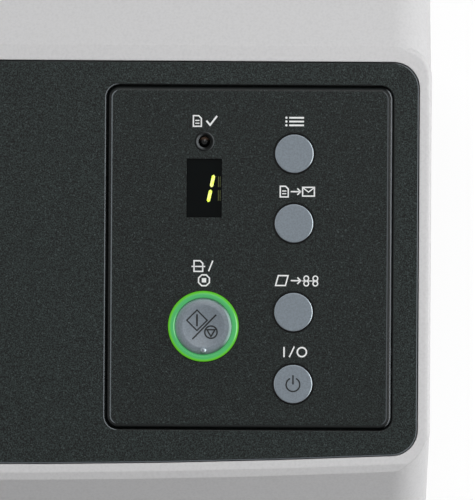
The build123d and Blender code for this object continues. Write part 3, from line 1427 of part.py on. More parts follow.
def control_board():
    """The main circuit board with its larger components."""
    x, y, z = CONTROL_X, CONTROL_Y, CONTROL_TOP_Z
    blocks = (
        (x - CONTROL_WIDTH / 5, y, HEATSINK_SIDE, HEATSINK_SIDE, HEATSINK_HEIGHT),
        (x + CONTROL_WIDTH / 8, y - CONTROL_DEPTH / 6, CHIP_SIDE, CHIP_SIDE, CHIP_HEIGHT),
        (x - CONTROL_WIDTH / 5, y - CONTROL_DEPTH / 3, HEADER_LENGTH, HEADER_DEPTH, HEADER_HEIGHT),
        (x, y, CONTROL_WIDTH, CONTROL_DEPTH, -BOARD_THICK),
    )
    with BuildPart() as board:
        for middle_x, middle_y, width, depth, height in blocks:
            across = (middle_x - width / 2, middle_x + width / 2)
            deep = (middle_y - depth / 2, middle_y + depth / 2)
            add(slab(Plane.XY, across, deep, sorted((z, z + height))))
        for step in (-1, 0, 1):
            place = (x + CONTROL_WIDTH / 3, y + 4 * step * CAPACITOR_RADIUS)
            add(disc(Plane.XY, place, (z, z + CAPACITOR_HEIGHT), CAPACITOR_RADIUS))
    save(board.part, "control_board")


def power_supply():
    """The power supply in its metal case."""
    x = (SUPPLY_X - SUPPLY_WIDTH / 2, SUPPLY_X + SUPPLY_WIDTH / 2)
    y = (SUPPLY_Y - SUPPLY_DEPTH / 2, SUPPLY_Y + SUPPLY_DEPTH / 2)
    with BuildPart() as supply:
        add(slab(Plane.XY, x, y, (PAN_TOP_Z, PAN_TOP_Z + SUPPLY_HEIGHT)))
        fillet(supply.edges().filter_by(Axis.Y), WALL)
    save(supply.part, "power_supply")


def power_inlet():
    """The mains inlet in the rear cover: a shrouded socket with three pins."""
    with BuildPart() as inlet:
        with BuildSketch(Plane.XZ.offset(-REAR_FACE_Y)) as body:
            with Locations((INLET_X, INLET_Z)):
                Rectangle(INLET_WIDTH, INLET_HEIGHT)
        extrude(amount=INLET_DEPTH)
        with BuildSketch(Plane.XZ.offset(-REAR_FACE_Y - REAR_INSET * 0.9)):
            with Locations((INLET_X, INLET_Z)):
                RectangleRounded(INLET_WIDTH + 3 * WALL, INLET_HEIGHT + 2 * WALL, WALL)
        extrude(amount=REAR_INSET * 0.9)
        with BuildSketch(Plane.XZ.offset(-HALF_DEPTH)):
            with Locations((INLET_X, INLET_Z)):
                RectangleRounded(INLET_WIDTH - 2 * SOCKET_WALL, INLET_HEIGHT - 2 * SOCKET_WALL, WALL)
        extrude(amount=INLET_DEPTH - WALL, mode=Mode.SUBTRACT)
        with BuildSketch(Plane.XZ.offset(-REAR_FACE_Y + 2 * WALL)):
            with Locations((INLET_X - 7, INLET_Z - 2), (INLET_X, INLET_Z + 2), (INLET_X + 7, INLET_Z - 2)):
                Rectangle(2, 4)
        extrude(amount=INLET_DEPTH - 3 * WALL)
    save(inlet.part, "power_inlet")


def data_socket():
    """The square data socket on the main board."""
    rear = REAR_FACE_Y - FIT_GAP
    x = (DATA_X - DATA_WIDTH / 2, DATA_X + DATA_WIDTH / 2)
    z = (CONTROL_TOP_Z, CONTROL_TOP_Z + DATA_HEIGHT)
    with BuildPart() as socket:
        add(slab(Plane.XY, x, (rear - DATA_DEPTH, rear), z))
        hole_x = (x[0] + SOCKET_WALL, x[1] - SOCKET_WALL)
        hole_z = (z[0] + SOCKET_WALL, z[1] - SOCKET_WALL)
        add(slab(Plane.XY, hole_x, (rear - DATA_DEPTH + WALL, rear + 1), hole_z), mode=Mode.SUBTRACT)
        tongue_x = (DATA_X - 2 * SOCKET_WALL, DATA_X + 2 * SOCKET_WALL)
        tongue_z = (DATA_Z - SOCKET_WALL, DATA_Z + SOCKET_WALL)
        add(slab(Plane.XY, tongue_x, (rear - DATA_DEPTH, rear - WALL), tongue_z))
    save(socket.part, "data_socket")


# The stacker


def stacker_tray():
    """The tray that slides out at the front, with a pocket for its extension."""
    finger = STOP_HALF_WIDTH + 2
    notch_rear = STOP_HINGE_Y + STOP_HEIGHT + 2
    rear = BASE_FRONT_Y + TRAY_LENGTH
    front = BASE_FRONT_Y - FIT_GAP
    with BuildPart() as tray:
        across = (-TRAY_HALF_WIDTH, TRAY_HALF_WIDTH)
        add(slab(Plane.XY, across, (front, rear), (TRAY_BOTTOM_Z, TRAY_TOP_Z)))
        panel = (front - TRAY_FRONT_THICK, front)
        add(slab(Plane.XY, across, panel, (TRAY_FRONT_LOW_Z, TRAY_FRONT_HIGH_Z)))
        pocket = (-LEAF_HALF_WIDTH - SLIDE_GAP, LEAF_HALF_WIDTH + SLIDE_GAP)
        height = (LEAF_LOW_Z - SLIDE_GAP, LEAF_HIGH_Z + SLIDE_GAP)
        leaf_rear = LEAF_FRONT_Y + LEAF_LENGTH + 2
        add(slab(Plane.XY, pocket, (panel[0] - 1, leaf_rear), height), mode=Mode.SUBTRACT)
        notch = slab(Plane.XY, (-finger, finger), (STOP_HINGE_Y - 2, notch_rear), (LEAF_HIGH_Z, TRAY_TOP_Z + 1))
        add(notch, mode=Mode.SUBTRACT)
    save(tray.part, "stacker_tray")


def stacker_extension():
    """The leaf that slides out of the tray, with a grip and a window for the page stop."""
    hinge = (STOP_HINGE_Y, STOP_HINGE_Z)
    with BuildPart() as leaf:
        across = (-LEAF_HALF_WIDTH, LEAF_HALF_WIDTH)
        run = (LEAF_FRONT_Y, LEAF_FRONT_Y + LEAF_LENGTH)
        add(slab(Plane.XY, across, run, (LEAF_LOW_Z, LEAF_HIGH_Z)))
        grip = (-LEAF_GRIP_HALF_WIDTH, LEAF_GRIP_HALF_WIDTH)
        front = (LEAF_FRONT_Y - LEAF_GRIP_THICK, LEAF_FRONT_Y)
        add(slab(Plane.XY, grip, front, (TRAY_FRONT_LOW_Z, TRAY_FRONT_HIGH_Z - 1)))
        half = STOP_HALF_WIDTH + SLIDE_GAP
        opening = (STOP_HINGE_Y - LEAF_THICK / 2 - SLIDE_GAP, STOP_HINGE_Y + STOP_HEIGHT + SLIDE_GAP)
        add(slab(Plane.XY, (-half, half), opening, (0, FLOOR_TOP_Z)), mode=Mode.SUBTRACT)
        end = STOP_HALF_WIDTH + LEAF_THICK + SLIDE_GAP
        add(rod(-end, end, hinge, STOP_PIN_RADIUS + RUN_GAP), mode=Mode.SUBTRACT)
    save(leaf.part, "stacker_extension")


def page_stop():
    """The small flap that flips up at the front of the extension."""
    hinge = (STOP_HINGE_Y, STOP_HINGE_Z)
    with BuildPart() as stop:
        across = (-STOP_HALF_WIDTH, STOP_HALF_WIDTH)
        run = (STOP_HINGE_Y, STOP_HINGE_Y + STOP_HEIGHT)
        add(slab(Plane.XY, across, run, (LEAF_LOW_Z, LEAF_HIGH_Z)))
        add(rod(*across, hinge, LEAF_THICK / 2))
        end = STOP_HALF_WIDTH + LEAF_THICK
        add(rod(-end, end, hinge, STOP_PIN_RADIUS))
    save(stop.part, "page_stop")


# The paper chute


def rack_line(side):
    """Where the neck and rack of one page guide run, up the chute."""
    return RACK_S + side * (PITCH_RADIUS + TOOTH_ROOT + RACK_BACK / 2)


def paper_chute():
    """The chute that the pages stand on, with side rails, pins and its slots."""
    rail = CHUTE_HALF_WIDTH - CHUTE_RAIL
    with BuildPart() as chute:
        run = (-CHUTE_TOE, CHUTE_LENGTH)
        add(slab(CHUTE, (-CHUTE_HALF_WIDTH, CHUTE_HALF_WIDTH), run, (SHEET_LOW, CHUTE_FACE)))
        for side in BOTH_SIDES:
            edges = sorted((side * rail, side * CHUTE_HALF_WIDTH))
            add(slab(CHUTE, edges, run, (-CHUTE_DROP, CHUTE_FACE)))
            edges = sorted((side * rail, side * CHUTE_PIN_REACH))
            add(rod(*edges, (CHUTE_Y, CHUTE_Z), CHUTE_PIN_RADIUS))
            middle = rack_line(side)
            slot_x = sorted((side * SLOT_INNER_X, side * SLOT_OUTER_X))
            slot_s = (middle - SLOT_WIDTH / 2, middle + SLOT_WIDTH / 2)
            add(slab(CHUTE, slot_x, slot_s, (SHEET_LOW - 1, CHUTE_FACE + 1)), mode=Mode.SUBTRACT)
            runner_x = sorted((side * (SLIDE_HALF_WIDTH + SLIDE_GAP), side * (SLIDE_HALF_WIDTH + SLIDE_GAP + WALL)))
            lip_x = sorted((side * (SLIDE_HALF_WIDTH - RAIL_LIP), side * (SLIDE_HALF_WIDTH + SLIDE_GAP + WALL)))
            lip_z = (RACK_LOW - SLIDE_GAP - PAN_SHEET, RACK_LOW - SLIDE_GAP)
            runner_s = (SLIDE_LOW_S - 1, CHUTE_LENGTH - 1)
            add(slab(CHUTE, runner_x, runner_s, (lip_z[0], SHEET_LOW)))
            add(slab(CHUTE, lip_x, runner_s, lip_z))
        add(disc(CHUTE, (0, RACK_S), (RACK_LOW - SLIDE_GAP, SHEET_LOW), PINION_BORE))
        add(disc(CHUTE, (0, RACK_S), (RACK_LOW - SLIDE_GAP - PAN_SHEET, RACK_LOW - SLIDE_GAP), PITCH_RADIUS / 2))
    save(chute.part, "paper_chute")


def chute_extension():
    """The narrow leaf below the chute that slides up for long pages."""
    with BuildPart() as leaf:
        across = (-SLIDE_HALF_WIDTH, SLIDE_HALF_WIDTH)
        end = CHUTE_LENGTH + SLIDE_GAP
        add(slab(CHUTE, across, (SLIDE_LOW_S, end + SLIDE_GRIP), (RACK_LOW, RACK_HIGH)))
        add(slab(CHUTE, across, (end, end + SLIDE_GRIP), (RACK_LOW, SLIDE_GRIP_RISE)))
    save(leaf.part, "chute_extension")


def rack_teeth(side):
    """The teeth of one rack, pointing at the pinion, with a gap at the machine's middle."""
    pitch = RACK_S + side * PITCH_RADIUS
    root = pitch + side * (TOOTH_ROOT + FIT_GAP)
    tip = pitch - side * TOOTH_TIP
    count_out = int((FENCE_X - RACK_PITCH) / RACK_PITCH)
    count_in = int((RACK_REACH - RACK_PITCH) / RACK_PITCH)
    with BuildSketch(CHUTE.offset(RACK_LOW)) as teeth:
        for step in range(-count_in, count_out):
            x = side * (step + 0.5) * RACK_PITCH
            with BuildLine():
                Polyline(
                    (x - TOOTH_ROOT_WIDTH / 2, root),
                    (x - TOOTH_TIP_WIDTH / 2, tip),
                    (x + TOOTH_TIP_WIDTH / 2, tip),
                    (x + TOOTH_ROOT_WIDTH / 2, root),
                    close=True,
                )
            make_face()
    return extrude(teeth.sketch, amount=RACK_THICK, mode=Mode.PRIVATE)


def page_guide(name, side):
    """A side guide for the pages: fence, foot, neck through the slot, and rack below."""
    middle = rack_line(side)
    neck_x = (FENCE_X + FENCE_SHEET, FENCE_X + FENCE_SHEET + NECK_WIDTH)
    half = NECK_WIDTH / 2
    foot_low = CHUTE_FACE + SLIDE_GAP
    foot_s = (RACK_S - 2 * PITCH_RADIUS, RACK_S + 2 * PITCH_RADIUS)

    def both(pair):
        return sorted((side * pair[0], side * pair[1]))

    with BuildPart() as guide:
        fence_s = (FENCE_LOW_S, FENCE_LOW_S + FENCE_LENGTH)
        fence_z = (foot_low, foot_low + FENCE_HEIGHT)
        add(slab(CHUTE, both((FENCE_X, FENCE_X + FENCE_SHEET)), fence_s, fence_z))
        fillet(guide.edges().filter_by(lambda e: abs(e.length - FENCE_SHEET) < 0.01), FENCE_CORNER)
        add(slab(CHUTE, both((FENCE_X, FENCE_X + FENCE_FOOT)), foot_s, (foot_low, foot_low + FENCE_FOOT_THICK)))
        add(slab(CHUTE, both(neck_x), (middle - half, middle + half), (RACK_LOW, foot_low)))
        back_near = RACK_S + side * (PITCH_RADIUS + TOOTH_ROOT)
        back_far = RACK_S + side * (PITCH_RADIUS + TOOTH_ROOT + RACK_BACK)
        rack_x = both((-RACK_REACH, neck_x[1]))
        add(slab(CHUTE, rack_x, sorted((back_near, back_far)), (RACK_LOW, RACK_HIGH)))
        add(rack_teeth(side))
    save(guide.part, name)


def pinion_tooth(step):
    """The corners of one tooth of the pinion; the first tooth points up the chute."""
    angle = pi / 2 + step * 2 * pi / PINION_TEETH
    root = PITCH_RADIUS - TOOTH_ROOT - FIT_GAP
    tip = PITCH_RADIUS + TOOTH_TIP
    corners = (
        (root, -TOOTH_ROOT_WIDTH / 2),
        (tip, -TOOTH_TIP_WIDTH / 2),
        (tip, TOOTH_TIP_WIDTH / 2),
        (root, TOOTH_ROOT_WIDTH / 2),
    )
    return [(a * cos(angle) - b * sin(angle), RACK_S + a * sin(angle) + b * cos(angle)) for a, b in corners]


def guide_pinion():
    """The pinion below the chute that moves both page guides together."""
    with BuildPart() as pinion:
        add(disc(CHUTE, (0, RACK_S), (RACK_LOW, RACK_HIGH), PITCH_RADIUS - TOOTH_ROOT))
        with BuildSketch(CHUTE.offset(RACK_LOW)):
            for step in range(PINION_TEETH):
                with BuildLine():
                    Polyline(*pinion_tooth(step), close=True)
                make_face()
        extrude(amount=RACK_THICK)
        add(disc(CHUTE, (0, RACK_S), (RACK_LOW, RACK_HIGH), PINION_BORE + RUN_GAP), mode=Mode.SUBTRACT)
    save(pinion.part, "guide_pinion")


os.makedirs("parts", exist_ok=True)

front_cover()
face_panel()
control_panel()
for key_name, key_place in key_places().items():
    round_key(key_name, key_place)
scan_stop_button()
scan_light_ring()
check_lamp()
display_window()
digit_display()
panel_board()
key_switches()

upper_paper_guide()
lower_paper_guide()
scan_unit("front", FRONT_SCAN_S, 1, GUIDE_HALF_WIDTH, SEAM)
scan_unit("rear", REAR_SCAN_S, -1, FRAME_X - FIT_GAP, -GUIDE_SINK)
idler_row("feed_idlers", idler_place(FEED_S, IDLER_RADIUS), IDLER_RADIUS, TYRE_REACH, TYRE_LENGTH)
idler_row("eject_idlers", idler_place(EJECT_S, IDLER_RADIUS), IDLER_RADIUS, TYRE_REACH, TYRE_LENGTH)
idler_row("brake_roller", idler_place(PICK_S, BRAKE_RADIUS), BRAKE_RADIUS, PICK_REACH, PICK_LENGTH)
eject_roller()
tyre_roller("feed", FEED_S, DRIVE_RADIUS, TYRE_REACH, TYRE_LENGTH)
tyre_roller("pick", PICK_S, PICK_RADIUS, PICK_REACH, PICK_LENGTH)
shaft_pulley("feed_pulley", drive_place(FEED_S, DRIVE_RADIUS), FEED_PULLEY)
shaft_pulley("pick_pulley", drive_place(PICK_S, PICK_RADIUS), PICK_PULLEY)
shaft_bushes()
drive_motor()
motor_pulley()
drive_belt()

latch_bar()
hinge_and_latch_pins()

side_cover("left_side_cover", -1)
side_cover("right_side_cover", 1)
base_pan()
rubber_feet()
stacker_floor()
top_deck()
rear_cover()
rear_screws()
frame_plate("left_frame_plate", -1)
frame_plate("right_frame_plate", 1)
control_board()
power_supply()
power_inlet()
data_socket()

stacker_tray()
stacker_extension()
page_stop()

paper_chute()
chute_extension()
page_guide("left_page_guide", -1)
page_guide("right_page_guide", 1)
guide_pinion()
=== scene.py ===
import json
from math import cos, pi, radians, sin, sqrt

import bmesh
import bpy
from mathutils import Matrix, Vector
from mathutils.bvhtree import BVHTree


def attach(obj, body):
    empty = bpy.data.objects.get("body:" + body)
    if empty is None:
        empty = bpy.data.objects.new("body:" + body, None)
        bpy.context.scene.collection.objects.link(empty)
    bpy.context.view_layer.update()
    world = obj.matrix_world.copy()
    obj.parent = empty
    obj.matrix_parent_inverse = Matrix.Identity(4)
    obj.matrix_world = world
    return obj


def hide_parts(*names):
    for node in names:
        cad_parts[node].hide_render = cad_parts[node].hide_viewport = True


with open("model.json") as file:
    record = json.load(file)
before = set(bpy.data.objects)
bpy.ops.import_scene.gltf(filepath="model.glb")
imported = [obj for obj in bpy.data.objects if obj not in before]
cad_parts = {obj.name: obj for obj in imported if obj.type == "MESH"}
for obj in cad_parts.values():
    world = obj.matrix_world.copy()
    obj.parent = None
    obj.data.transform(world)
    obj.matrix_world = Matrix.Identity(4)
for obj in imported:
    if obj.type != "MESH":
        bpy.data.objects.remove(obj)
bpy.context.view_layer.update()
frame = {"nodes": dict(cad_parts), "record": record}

# Places on the dark face, in millimetres across, up the slope and out of it
MM = 0.001
FACE_TILT = radians(35)
FACE_FOOT = Vector((0.0, -0.178, 0.112))
ACROSS = Vector((1.0, 0.0, 0.0))
FACE_UP = Vector((0.0, sin(FACE_TILT), cos(FACE_TILT)))
FACE_OUT = Vector((0.0, -cos(FACE_TILT), sin(FACE_TILT)))

# Places on the paper chute
CHUTE_SLOPE = radians(42)
CHUTE_FOOT = Vector((0.0, 0.050, 0.258))
CHUTE_UP = Vector((0.0, cos(CHUTE_SLOPE), sin(CHUTE_SLOPE)))
CHUTE_OUT = Vector((0.0, -sin(CHUTE_SLOPE), cos(CHUTE_SLOPE)))
CHUTE_FACE = 4.0

# The narrow walls round the dark face, in metres: where they stand, how thick a skin of
# them counts, how far they run, and from what depth to what depth they are in shade
FACE_SIDE = 0.2268
FACE_HEAD = 0.1103
WALL_INNER = 0.0004
WALL_OUTER = 0.0002
SIDE_WALL_FOOT = 0.014
SIDE_WALL_HEAD = 0.104
HEAD_WALL_END = 0.220
WALL_END_SOFT = 0.002
WALL_DEEP = -0.0034
WALL_TOP = -0.0005
WALL_SOFT = 0.0002

# The controls, in millimetres on the dark face
LEFT_COLUMN = 170.0
RIGHT_COLUMN = 193.75
SCAN_KEY = (LEFT_COLUMN, 40.2)
POWER_KEY = (RIGHT_COLUMN, 25.1)
CHECK_LAMP = (LEFT_COLUMN, 89.0)
KEY_PROUD = 0.7
SCAN_KEY_PROUD = 0.9
DISH_RADIUS = 5.55
DISH_DEPTH = 1.1
RING_BORE = 7.56
RING_RADIUS = 9.18
RING_PROUD = 1.3
RING_SEAT = -3.7
WINDOW_FACE = -0.9

# The middles of the white pictograms
CHECK_PRINT = (LEFT_COLUMN, 94.4)
LIST_PRINT = (193.85, 94.4)
SEND_PRINT = (193.85, 75.9)
SCAN_PRINT = (170.1, 56.1)
MANUAL_PRINT = (194.2, 52.4)
POWER_PRINT = (193.85, 33.55)

# The rear screws, in millimetres
SCREW_ACROSS = 167.2
SCREW_HEIGHTS = (30.0, 125.0, 225.0)
SCREW_FACE = 214.8


def on_face(x, v, rise=0.0):
    """A place on the dark face, in metres."""
    return FACE_FOOT + MM * (x * ACROSS + v * FACE_UP + rise * FACE_OUT)


def on_scan_key(x, v, rise=0.0):
    """A place on the dished top of the large key."""
    ball = (DISH_RADIUS**2 + DISH_DEPTH**2) / (2 * DISH_DEPTH)
    off = (x - SCAN_KEY[0]) ** 2 + (v - SCAN_KEY[1]) ** 2
    sink = max(DISH_DEPTH - ball + sqrt(ball**2 - min(off, DISH_RADIUS**2)), 0.0)
    return on_face(x, v, SCAN_KEY_PROUD - sink + rise)


def on_power_key(x, v, rise=0.0):
    """A place on the flat top of the power key."""
    return on_face(x, v, KEY_PROUD + rise)


def on_window(x, v, rise=0.0):
    """A place on the dark window of the display."""
    return on_face(x, v, WINDOW_FACE + rise)


def on_chute(x, s, rise=0.0):
    """A place on the paper chute."""
    return CHUTE_FOOT + MM * (x * ACROSS + s * CHUTE_UP + (CHUTE_FACE + rise) * CHUTE_OUT)


def on_rear(x, z, rise=0.0):
    """A place on the screw heads in the rear cover."""
    return Vector((MM * x, MM * (SCREW_FACE + rise), MM * z))


def on_top_of(node):
    """Places on the upper side of a piece, found by looking straight down on it."""
    corners = [node.matrix_world @ corner.co for corner in node.data.vertices]
    shell = BVHTree.FromPolygons(corners, [tuple(face.vertices) for face in node.data.polygons])

    def place(x, y, rise=0.0):
        hit, normal = shell.ray_cast(Vector((MM * x, MM * y, 1.0)), Vector((0.0, 0.0, -1.0)))[:2]
        return hit + MM * rise * normal

    return place


# Colours
CASING = (0.63, 0.627, 0.634)
FACE_DARK = (0.0118, 0.0165, 0.0158)
PANEL_DARK = (0.0088, 0.0122, 0.0116)
FLECK = (0.12, 0.15, 0.15, 1.0)
# Painted shade on the curved edges of the dark face and panel
EDGE_SHADE = (0.0075, 0.009, 0.0092, 1.0)
# Painted highlights along the edges of the dark face and panel
FOOT_HIGHLIGHT = (0.17, 0.19, 0.21, 1.0)
EDGE_HIGHLIGHT = (0.15, 0.168, 0.18, 1.0)
FAINT_HIGHLIGHT = (0.065, 0.073, 0.079, 1.0)
STRONG_HIGHLIGHT = (0.36, 0.39, 0.41, 1.0)
# Black, for painted shade in gaps and below the panel
BLACK = (0.0015, 0.0018, 0.0018, 1.0)
KEY_GREY = (0.185, 0.218, 0.25)
GRAPHITE = (0.10, 0.106, 0.112)


class Value:
    """One output in a finish's nodes. Arithmetic on it adds Math nodes."""

    def __init__(self, finish, socket):
        self.finish = finish
        self.socket = socket

    def math(self, operation, *others):
        return self.finish.math(operation, self, *others)

    def __add__(self, other):
        return self.math("ADD", other)

    __radd__ = __add__

    def __sub__(self, other):
        return self.math("SUBTRACT", other)

    def __rsub__(self, other):
        return self.finish.math("SUBTRACT", other, self)

    def __mul__(self, other):
        return self.math("MULTIPLY", other)

    __rmul__ = __mul__


class Finish:
    """A material that is built up from nodes."""

    def __init__(self, name):
        self.material = bpy.data.materials.new(name)
        self.material.use_nodes = True
        self.tree = self.material.node_tree
        self.tree.nodes.clear()
        self.output = self.tree.nodes.new("ShaderNodeOutputMaterial")
        self.point = self.add("ShaderNodeTexCoord", output="Object")
        self.normal = self.add("ShaderNodeNewGeometry", output="Normal")

    def add(self, kind, settings=None, inputs=None, output=0):
        """Add one node: its settings first, then the values or links of its sockets."""
        node = self.tree.nodes.new(kind)
        for name, value in (settings or {}).items():
            setattr(node, name, value)
        for key, value in (inputs or {}).items():
            if isinstance(value, Value):
                self.tree.links.new(value.socket, node.inputs[key])
            else:
                node.inputs[key].default_value = value
        return Value(self, node.outputs[output])

    def math(self, operation, *terms):
        """Arithmetic on values and plain numbers."""
        return self.add("ShaderNodeMath", {"operation": operation}, dict(enumerate(terms)))

    def vector_math(self, operation, *terms, output=0):
        """Vector arithmetic on values, places and directions."""
        inputs = dict(enumerate(terms))
        return self.add("ShaderNodeVectorMath", {"operation": operation}, inputs, output)

    def stretched(self, x, y, z):
        """The object's own coordinates, scaled by a number along each axis."""
        return self.vector_math("MULTIPLY", self.point, (x, y, z))

    def noise(self, scale, detail=2.0, where=None):
        """Smooth noise, over the object's own coordinates unless where gives others."""
        inputs = {"Vector": where or self.point, "Scale": scale, "Detail": detail}
        return self.add("ShaderNodeTexNoise", None, inputs)

    def cells(self, scale):
        """A number between 0 and 1 for each of many small cells."""
        inputs = {"Vector": self.point, "Scale": scale}
        colour = self.add("ShaderNodeTexVoronoi", None, inputs, "Color")
        return self.add("ShaderNodeSeparateColor", None, {0: colour})

    def edges(self, scale, where):
        """The distance to the nearest edge between cells."""
        inputs = {"Vector": where, "Scale": scale}
        return self.add("ShaderNodeTexVoronoi", {"feature": "DISTANCE_TO_EDGE"}, inputs)

    def measured(self, way):
        """Distance in metres from the foot of the dark face along a direction."""
        off = self.vector_math("SUBTRACT", self.point, FACE_FOOT)
        return self.vector_math("DOT_PRODUCT", off, way, output="Value")

    def towards(self, way):
        """How far the surface faces a direction: 1 when square on to it."""
        return self.vector_math("DOT_PRODUCT", self.normal, way, output="Value")

    def ramp(self, value, low, high, start=0.0, end=1.0):
        """From start to end as value goes from low to high, eased at both ends."""
        inputs = {"Value": value, "From Min": low, "From Max": high}
        inputs.update({"To Min": start, "To Max": end})
        return self.add("ShaderNodeMapRange", {"interpolation_type": "SMOOTHSTEP"}, inputs)

    def between(self, value, low, high, soft):
        """1 between two numbers, and 0 outside them by more than soft."""
        return self.ramp(value, low - soft, low) * self.ramp(value, high + soft, high)

    def blend(self, factor, first, second):
        """A mix of two colours."""
        inputs = {0: factor, 6: first, 7: second}
        return self.add("ShaderNodeMix", {"data_type": "RGBA"}, inputs, 2)

    def bumped(self, height, depth, edge=0.0):
        """The surface normal with a relief depth metres high, and corners rounded by edge."""
        inputs = {"Height": height, "Distance": depth, "Strength": 1.0}
        if edge:
            inputs["Normal"] = self.add("ShaderNodeBevel", {"samples": 4}, {"Radius": edge})
        return self.add("ShaderNodeBump", None, inputs)

    def surface(self, **sockets):
        """Finish with a Principled shader whose sockets are named with underscores."""
        inputs = {name.replace("_", " "): value for name, value in sockets.items()}
        shader = self.add("ShaderNodeBsdfPrincipled", None, inputs)
        self.tree.links.new(shader.socket, self.output.inputs["Surface"])
        return self.material


def tone(colour, factor):
    """A colour made lighter or darker, with full opacity."""
    return (*(min(channel * factor, 1.0) for channel in colour), 1.0)


def etched(finish, colour, grain, drift):
    """The clouding, the grain and the colour of moulded plastic with an etched surface."""
    cloud = finish.noise(9.0, 4.0)
    fine = finish.noise(grain, 2.0)
    shade = finish.blend(cloud, tone(colour, 1 - drift), tone(colour, 1 + drift))
    speck = finish.blend(finish.ramp(fine, 0.35, 0.75, 0.0, 0.24), shade, tone(colour, 0.72))
    return cloud, fine, speck


def moulded(
    name, colour, rough=0.5, grain=1800.0, relief=0.00002, edge=0.0004, gloss=0.35, drift=0.06
):
    """Moulded plastic with a fine etched grain, faint clouding and softened corners."""
    finish = Finish(name)
    cloud, fine, speck = etched(finish, colour, grain, drift)
    return finish.surface(
        Base_Color=speck,
        Roughness=rough + (cloud - 0.5) * 0.12 + (fine - 0.5) * 0.1,
        Specular_IOR_Level=gloss,
        Normal=finish.bumped(fine, relief, edge),
    )


def shadowed_casing(name, colour):
    """The cover's casing, with the narrow walls round the dark face in deep shade."""
    finish = Finish(name)
    cloud, fine, speck = etched(finish, colour, grain=1500.0, drift=0.02)
    across = finish.measured(ACROSS).math("ABSOLUTE")
    up = finish.measured(FACE_UP)

    def at_wall(value, wall):
        return finish.between(value, wall - WALL_INNER, wall + WALL_OUTER, WALL_SOFT)

    side = finish.between(up, SIDE_WALL_FOOT, SIDE_WALL_HEAD, WALL_END_SOFT)
    side = at_wall(across, FACE_SIDE) * side
    head = finish.ramp(across, HEAD_WALL_END + WALL_END_SOFT, HEAD_WALL_END)
    head = at_wall(up, FACE_HEAD) * head
    sunk = finish.between(finish.measured(FACE_OUT), WALL_DEEP, WALL_TOP, WALL_SOFT)
    return finish.surface(
        Base_Color=finish.blend((side + head) * sunk, speck, BLACK),
        Roughness=0.46 + (cloud - 0.5) * 0.12 + (fine - 0.5) * 0.1,
        Specular_IOR_Level=0.4,
        Normal=finish.bumped(fine, 0.00002, 0.0005),
    )


def flecked(name, colour, lines, foot_highlight=None):
    """Dark etched plastic with a fine sparkle, smooth where it curves away at its edges,
    with painted shade there that turns black where the edge faces the side.

    lines are painted highlights along those edges: the lowest and highest share by which
    the surface faces outwards there, its side, the share by which it faces that side
    where the line begins, and the line's colour. A foot colour, when given, is a painted
    highlight along the lower edge of the face.
    """
    finish = Finish(name)
    cloud = finish.noise(14.0, 3.0)
    grit = finish.noise(3000.0, 3.0)
    flake = finish.cells(3300.0)
    outwards = finish.towards(FACE_OUT)
    curved = finish.ramp(outwards, 0.985, 0.93)
    glint = finish.ramp(flake, 0.80, 1.0) * finish.ramp(grit, 0.42, 0.62)
    ground = finish.blend(finish.ramp(grit, 0.37, 0.65), tone(colour, 0.02), tone(colour, 2.15))
    drifted = finish.blend(finish.ramp(cloud, 0.3, 0.7, 0.0, 0.12), ground, tone(colour, 1.2))
    flat = finish.blend(glint * 0.3, drifted, FLECK)
    # Painted shade: the curved edges darker, black where they turn away to the side
    edge_light_and_shade = finish.blend(finish.ramp(outwards, 0.62, 0.42), EDGE_SHADE, BLACK)
    # Painted highlight along the lower edge of the face
    if foot_highlight:
        low = finish.ramp(finish.measured(FACE_UP), 0.011, 0.007)
        edge_light_and_shade = finish.blend(low, edge_light_and_shade, foot_highlight)
    shade = finish.blend(curved, flat, edge_light_and_shade)
    # Painted highlights: light lines on the edges that face one side
    for lowest, highest, side, start, light in lines:
        facing = finish.ramp(finish.towards(side * ACROSS), start, 2 * start)
        line = finish.between(outwards, lowest, highest, 0.006) * facing
        shade = finish.blend(line, shade, light)
    return finish.surface(
        Base_Color=shade,
        Roughness=(0.46 + (grit - 0.5) * 0.14) * (1 - curved) + curved * 0.35,
        Specular_IOR_Level=0.16,
        Normal=finish.bumped(grit * (1 - curved), 0.00003, 0.0002),
    )


def satin_key(name, colour):
    """Satin key top with a very fine grain, glossier round its rim, with painted light and shade:
    the rim painted lighter with a painted highlight where it faces right and painted shade
    where it faces down, and painted shade in black below the panel.
    """
    finish = Finish(name)
    fine = finish.noise(2300.0, 2.0)
    cloud = finish.noise(120.0, 3.0)
    curved = finish.ramp(finish.towards(FACE_OUT), 0.95, 0.82)
    shade = finish.blend(finish.ramp(fine, 0.3, 0.7), tone(colour, 0.88), tone(colour, 1.1))
    # Painted shade: black below the panel, in the gap round the key
    below_panel_shade = finish.ramp(finish.measured(FACE_OUT), -0.0006, -0.0012)
    # Painted highlight on the side of the rim that faces right
    painted_light_facing = finish.ramp(finish.towards((FACE_OUT + ACROSS).normalized()), 0.84, 0.95)
    # Painted light and shade on the rim: lighter all round, darker where it faces down
    downwards = finish.ramp(finish.towards(FACE_UP), -0.05, -0.45)
    edge_light_and_shade = finish.blend(downwards, tone(colour, 1.55), tone(colour, 0.85))
    rim = finish.blend(painted_light_facing, edge_light_and_shade, tone(colour, 4.2))
    flat = finish.blend(cloud * 0.12, shade, tone(colour, 0.8))
    top = finish.blend(curved, flat, rim)
    return finish.surface(
        Base_Color=finish.blend(below_panel_shade, top, BLACK),
        Roughness=0.42 + (fine - 0.5) * 0.15 - curved * 0.18,
        Specular_IOR_Level=0.4,
        Coat_Weight=curved,
        Coat_Roughness=0.24,
        Normal=finish.bumped(fine * (1 - curved), 0.000008),
    )


